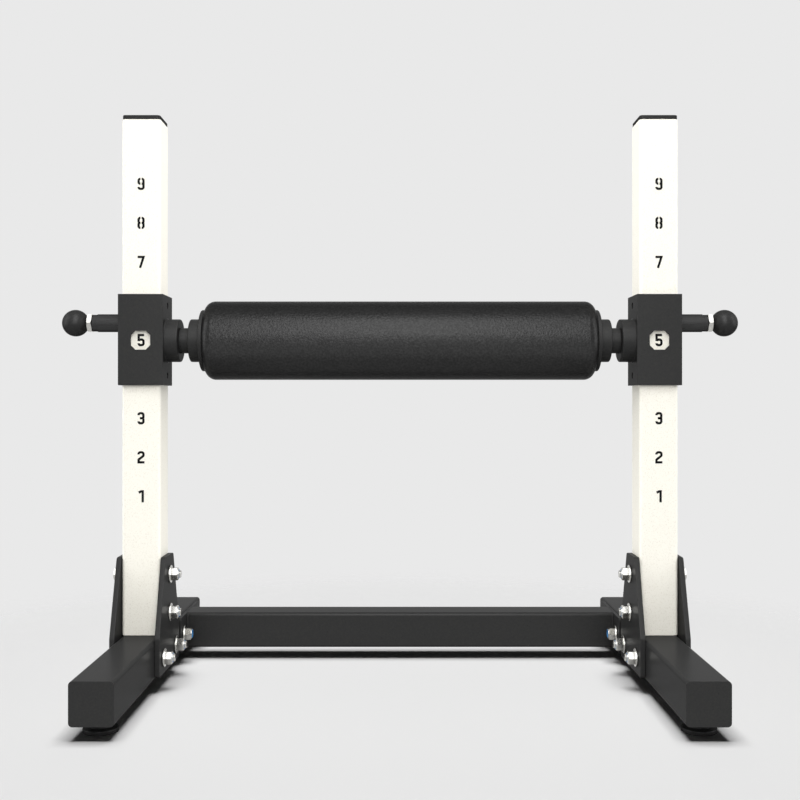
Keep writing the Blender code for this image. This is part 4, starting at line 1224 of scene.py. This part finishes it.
def gathered(name: str, wanted: Callable[[bpy.types.Object], bool]) -> bpy.types.Collection:
    """Put the meshes that a test picks in a new collection, for a lamp's linking.

    Args:
        name: the collection's name.
        wanted: the test.

    Returns:
        The collection.
    """
    group = bpy.data.collections.new(name)
    for obj in bpy.context.scene.objects:
        if obj.type == "MESH" and wanted(obj):
            group.objects.link(obj)
    return group


@dataclass(frozen=True)
class Lamp:
    """A soft lamp that lights the stand and leaves the floor alone.

    It can light only one finish or skip one, because the photograph's studio lights the finishes in ways that
    a few plain lamps can't. Glossy surfaces show it if it is mirrored.
    """

    name: str
    place: tuple[float, float, float]
    towards: tuple[float, float, float]
    size: tuple[float, float]
    watts: float
    mirrored: bool = True
    only: Finish | None = None
    skip: Finish | None = None

    def lights(self, obj: bpy.types.Object) -> bool:
        """Whether the lamp lights a mesh."""
        finishes = obj.data.materials
        return not (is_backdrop(obj) or (self.only and self.only.name not in finishes)
                    or (self.skip and self.skip.name in finishes))

    def build(self) -> bpy.types.Object:
        """Make the lamp and link it to what it lights.

        Returns:
            The lamp.
        """
        data = bpy.data.lights.new(self.name, "AREA")
        data.shape = "RECTANGLE"
        data.size, data.size_y = self.size
        data.energy = self.watts
        lamp = bpy.data.objects.new(self.name, data)
        lamp.location = self.place
        lamp.visible_camera = False
        lamp.visible_glossy = self.mirrored
        lamp.rotation_euler = (Vector(self.towards) - Vector(self.place)).to_track_quat("-Z", "Y").to_euler()
        bpy.context.scene.collection.objects.link(lamp)
        lamp.light_linking.receiver_collection = gathered(f"{self.name}_lights", self.lights)
        return lamp


@dataclass(frozen=True)
class FloorLamp(Lamp):
    """A lamp overhead for the floor alone, which only the pieces near the floor shade."""

    shade_height: float = 0.3

    def lights(self, obj: bpy.types.Object) -> bool:
        """Whether a mesh is the floor."""
        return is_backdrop(obj)

    def shades(self, obj: bpy.types.Object) -> bool:
        """Whether a mesh is a piece near the floor."""
        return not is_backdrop(obj) and max(corner[2] for corner in obj.bound_box) < self.shade_height

    def build(self) -> bpy.types.Object:
        """Make the lamp and link it to what it lights and what shades it.

        Returns:
            The lamp.
        """
        lamp = super().build()
        lamp.light_linking.blocker_collection = gathered(f"{self.name}_shades", self.shades)
        return lamp


@dataclass
class Studio:
    """A pale floor, soft lamps, and the camera at the photograph's place."""

    backdrop: str = "#e9e9e9"
    ambient: float = 0.03
    paper: str = "#eaeaea"
    floor_radius: float = 4.0
    floor_drop: float = 0.0004
    fade_from: float = 0.64
    fade_to: float = 1.15
    camera_place: tuple[float, float, float] = (0.0, -1.755, 0.4446)
    lens: float = 50.0
    sensor: float = 36.0

    def build(self) -> None:
        """Make the floor, the world, the lamps and the camera."""
        self.floor()
        self.world()
        self.lamps()
        self.camera()

    def lamps(self) -> None:
        """The lamps, a set of three at each side among them."""
        middle = (0, 0, 0.45)
        lamps = [
            Lamp("front", (0, -2.0, 2.31), (0, 0.66, 0.52), (1.45, 2.87), 57),
            Lamp("front_fill", (0, -3.0, 0.75), middle, (1.6, 1.5), 14),
            Lamp("low", (0, -1.5, 0.02), (0, -1.5, 1.0), (2.6, 2.0), 12, only=ROLLER_FOAM),
            Lamp("top", (0, -0.6, 3.4), middle, (1.8, 1.8), 88, mirrored=False, skip=ROLLER_FOAM),
            Lamp("back", (0, 2.6, 2.4), middle, (1.9, 1.9), 60, mirrored=False),
        ]
        for side in Side:
            sign, word = side.value, side.word
            lamps += [
                Lamp(word, (3.3 * sign, 0.2, 1.5), middle, (3.8, 3.4), 104),
                Lamp(f"{word}_zinc", (1.1 * sign, -1.6, 2.75), (0.4 * sign, 0, 0.3), (1.0, 1.6), 9.5,
                     only=ZINC_PLATE),
                Lamp(f"{word}_ivory", (3.3 * sign, 0.2, 2.2), (0, 0, 0.7), (2.0, 2.0), 15, mirrored=False,
                     only=IVORY_COAT),
            ]
        lamps.append(FloorLamp("floor_light", (0, 0, 6.0), (0, 0, 0), (3.5, 3.5), 370, mirrored=False))
        for lamp in lamps:
            lamp.build()

    def floor(self) -> None:
        """A floor that keeps the stand's shadow and fades into the backdrop."""
        bm = bmesh.new()
        bmesh.ops.create_circle(bm, cap_ends=True, segments=96, radius=self.floor_radius,
                                matrix=Matrix.Translation((0, 0, -self.floor_drop)))
        floor = as_object("floor", bm)
        paper = bpy.data.materials.new("studio_paper")
        paper.use_nodes = True
        tree = paper.node_tree
        shader = tree.nodes["Principled BSDF"]
        shader.inputs["Base Color"].default_value = linear(self.paper)
        shader.inputs["Roughness"].default_value = 0.9
        shader.inputs["Specular IOR Level"].default_value = 0.0
        where = add_node(tree, "ShaderNodeTexCoord").outputs["Object"]
        reach = add_node(tree, "ShaderNodeVectorMath", {"operation": "LENGTH"}, {0: where})
        fade = add_node(tree, "ShaderNodeMapRange", {"interpolation_type": "SMOOTHSTEP"}, {
            "Value": reach.outputs["Value"], "From Min": self.fade_from, "From Max": self.fade_to,
        })
        clear = add_node(tree, "ShaderNodeBsdfTransparent")
        mix = add_node(tree, "ShaderNodeMixShader", inputs={
            0: fade.outputs["Result"], 1: shader.outputs[0], 2: clear.outputs[0],
        })
        tree.links.new(mix.outputs[0], tree.nodes["Material Output"].inputs["Surface"])
        floor.data.materials.append(paper)
        floor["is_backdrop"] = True

    def world(self) -> None:
        """Pale to the camera and in reflections, and a faint even light."""
        world = bpy.data.worlds.new("studio")
        bpy.context.scene.world = world
        world.use_nodes = True
        tree = world.node_tree
        tree.nodes.clear()
        path = add_node(tree, "ShaderNodeLightPath")
        seen = add_node(tree, "ShaderNodeMath", {"operation": "ADD"}, {
            0: path.outputs["Is Camera Ray"], 1: path.outputs["Is Glossy Ray"],
        })
        seen = add_node(tree, "ShaderNodeMath", {"operation": "ADD", "use_clamp": True}, {
            0: seen.outputs[0], 1: path.outputs["Is Transmission Ray"],
        })
        light = add_node(tree, "ShaderNodeBackground", inputs={
            "Color": linear("#ffffff"), "Strength": self.ambient,
        })
        shown = add_node(tree, "ShaderNodeBackground", inputs={
            "Color": linear(self.backdrop), "Strength": 1.0,
        })
        mix = add_node(tree, "ShaderNodeMixShader", inputs={
            0: seen.outputs[0], 1: light.outputs[0], 2: shown.outputs[0],
        })
        add_node(tree, "ShaderNodeOutputWorld", inputs={"Surface": mix.outputs[0]})

    def camera(self) -> None:
        """The camera, level and square to the front."""
        data = bpy.data.cameras.new("camera")
        data.lens = self.lens
        data.sensor_width = self.sensor
        camera = bpy.data.objects.new("camera", data)
        camera.location = self.camera_place
        camera.rotation_euler = (math.pi / 2, 0, 0)
        bpy.context.scene.collection.objects.link(camera)
        bpy.context.scene.camera = camera


def dress_kept_solids() -> None:
    """Give a finish to the solids that stay as they are."""
    kept = {
        BARE_STEEL: ("roller_core", "left_bearing", "right_bearing", "left_plunger_spring",
                     "right_plunger_spring"),
        # The liner's tone is darker than its plastic: painted shade for the recesses where it shows
        LINER_BLACK_AND_PAINTED_SHADE: ("left_liner", "right_liner"),
    }
    for finish, names in kept.items():
        for name in names:
            materials = frame["nodes"][name].data.materials
            materials.clear()
            materials.append(finish.material())
            LOG.info("%s: kept, %s", name, finish.name)


def main() -> None:
    """Build every sub-assembly in order, then the studio."""
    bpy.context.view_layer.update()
    CrossMember().build()
    for side in Side:
        FrameSide(side).build()
    for end in End:
        for side in Side:
            LevellingFoot(end, side).build()
    for side in Side:
        CarriageSide(side).build()
    Axle().build()
    for side in Side:
        Plunger(side).build()
    FoamPad().build()
    for side in Side:
        Hub(side).build()
    dress_kept_solids()
    bpy.context.scene.view_settings.view_transform = "Standard"
    Studio().build()


if __name__ == "__main__":
    main()
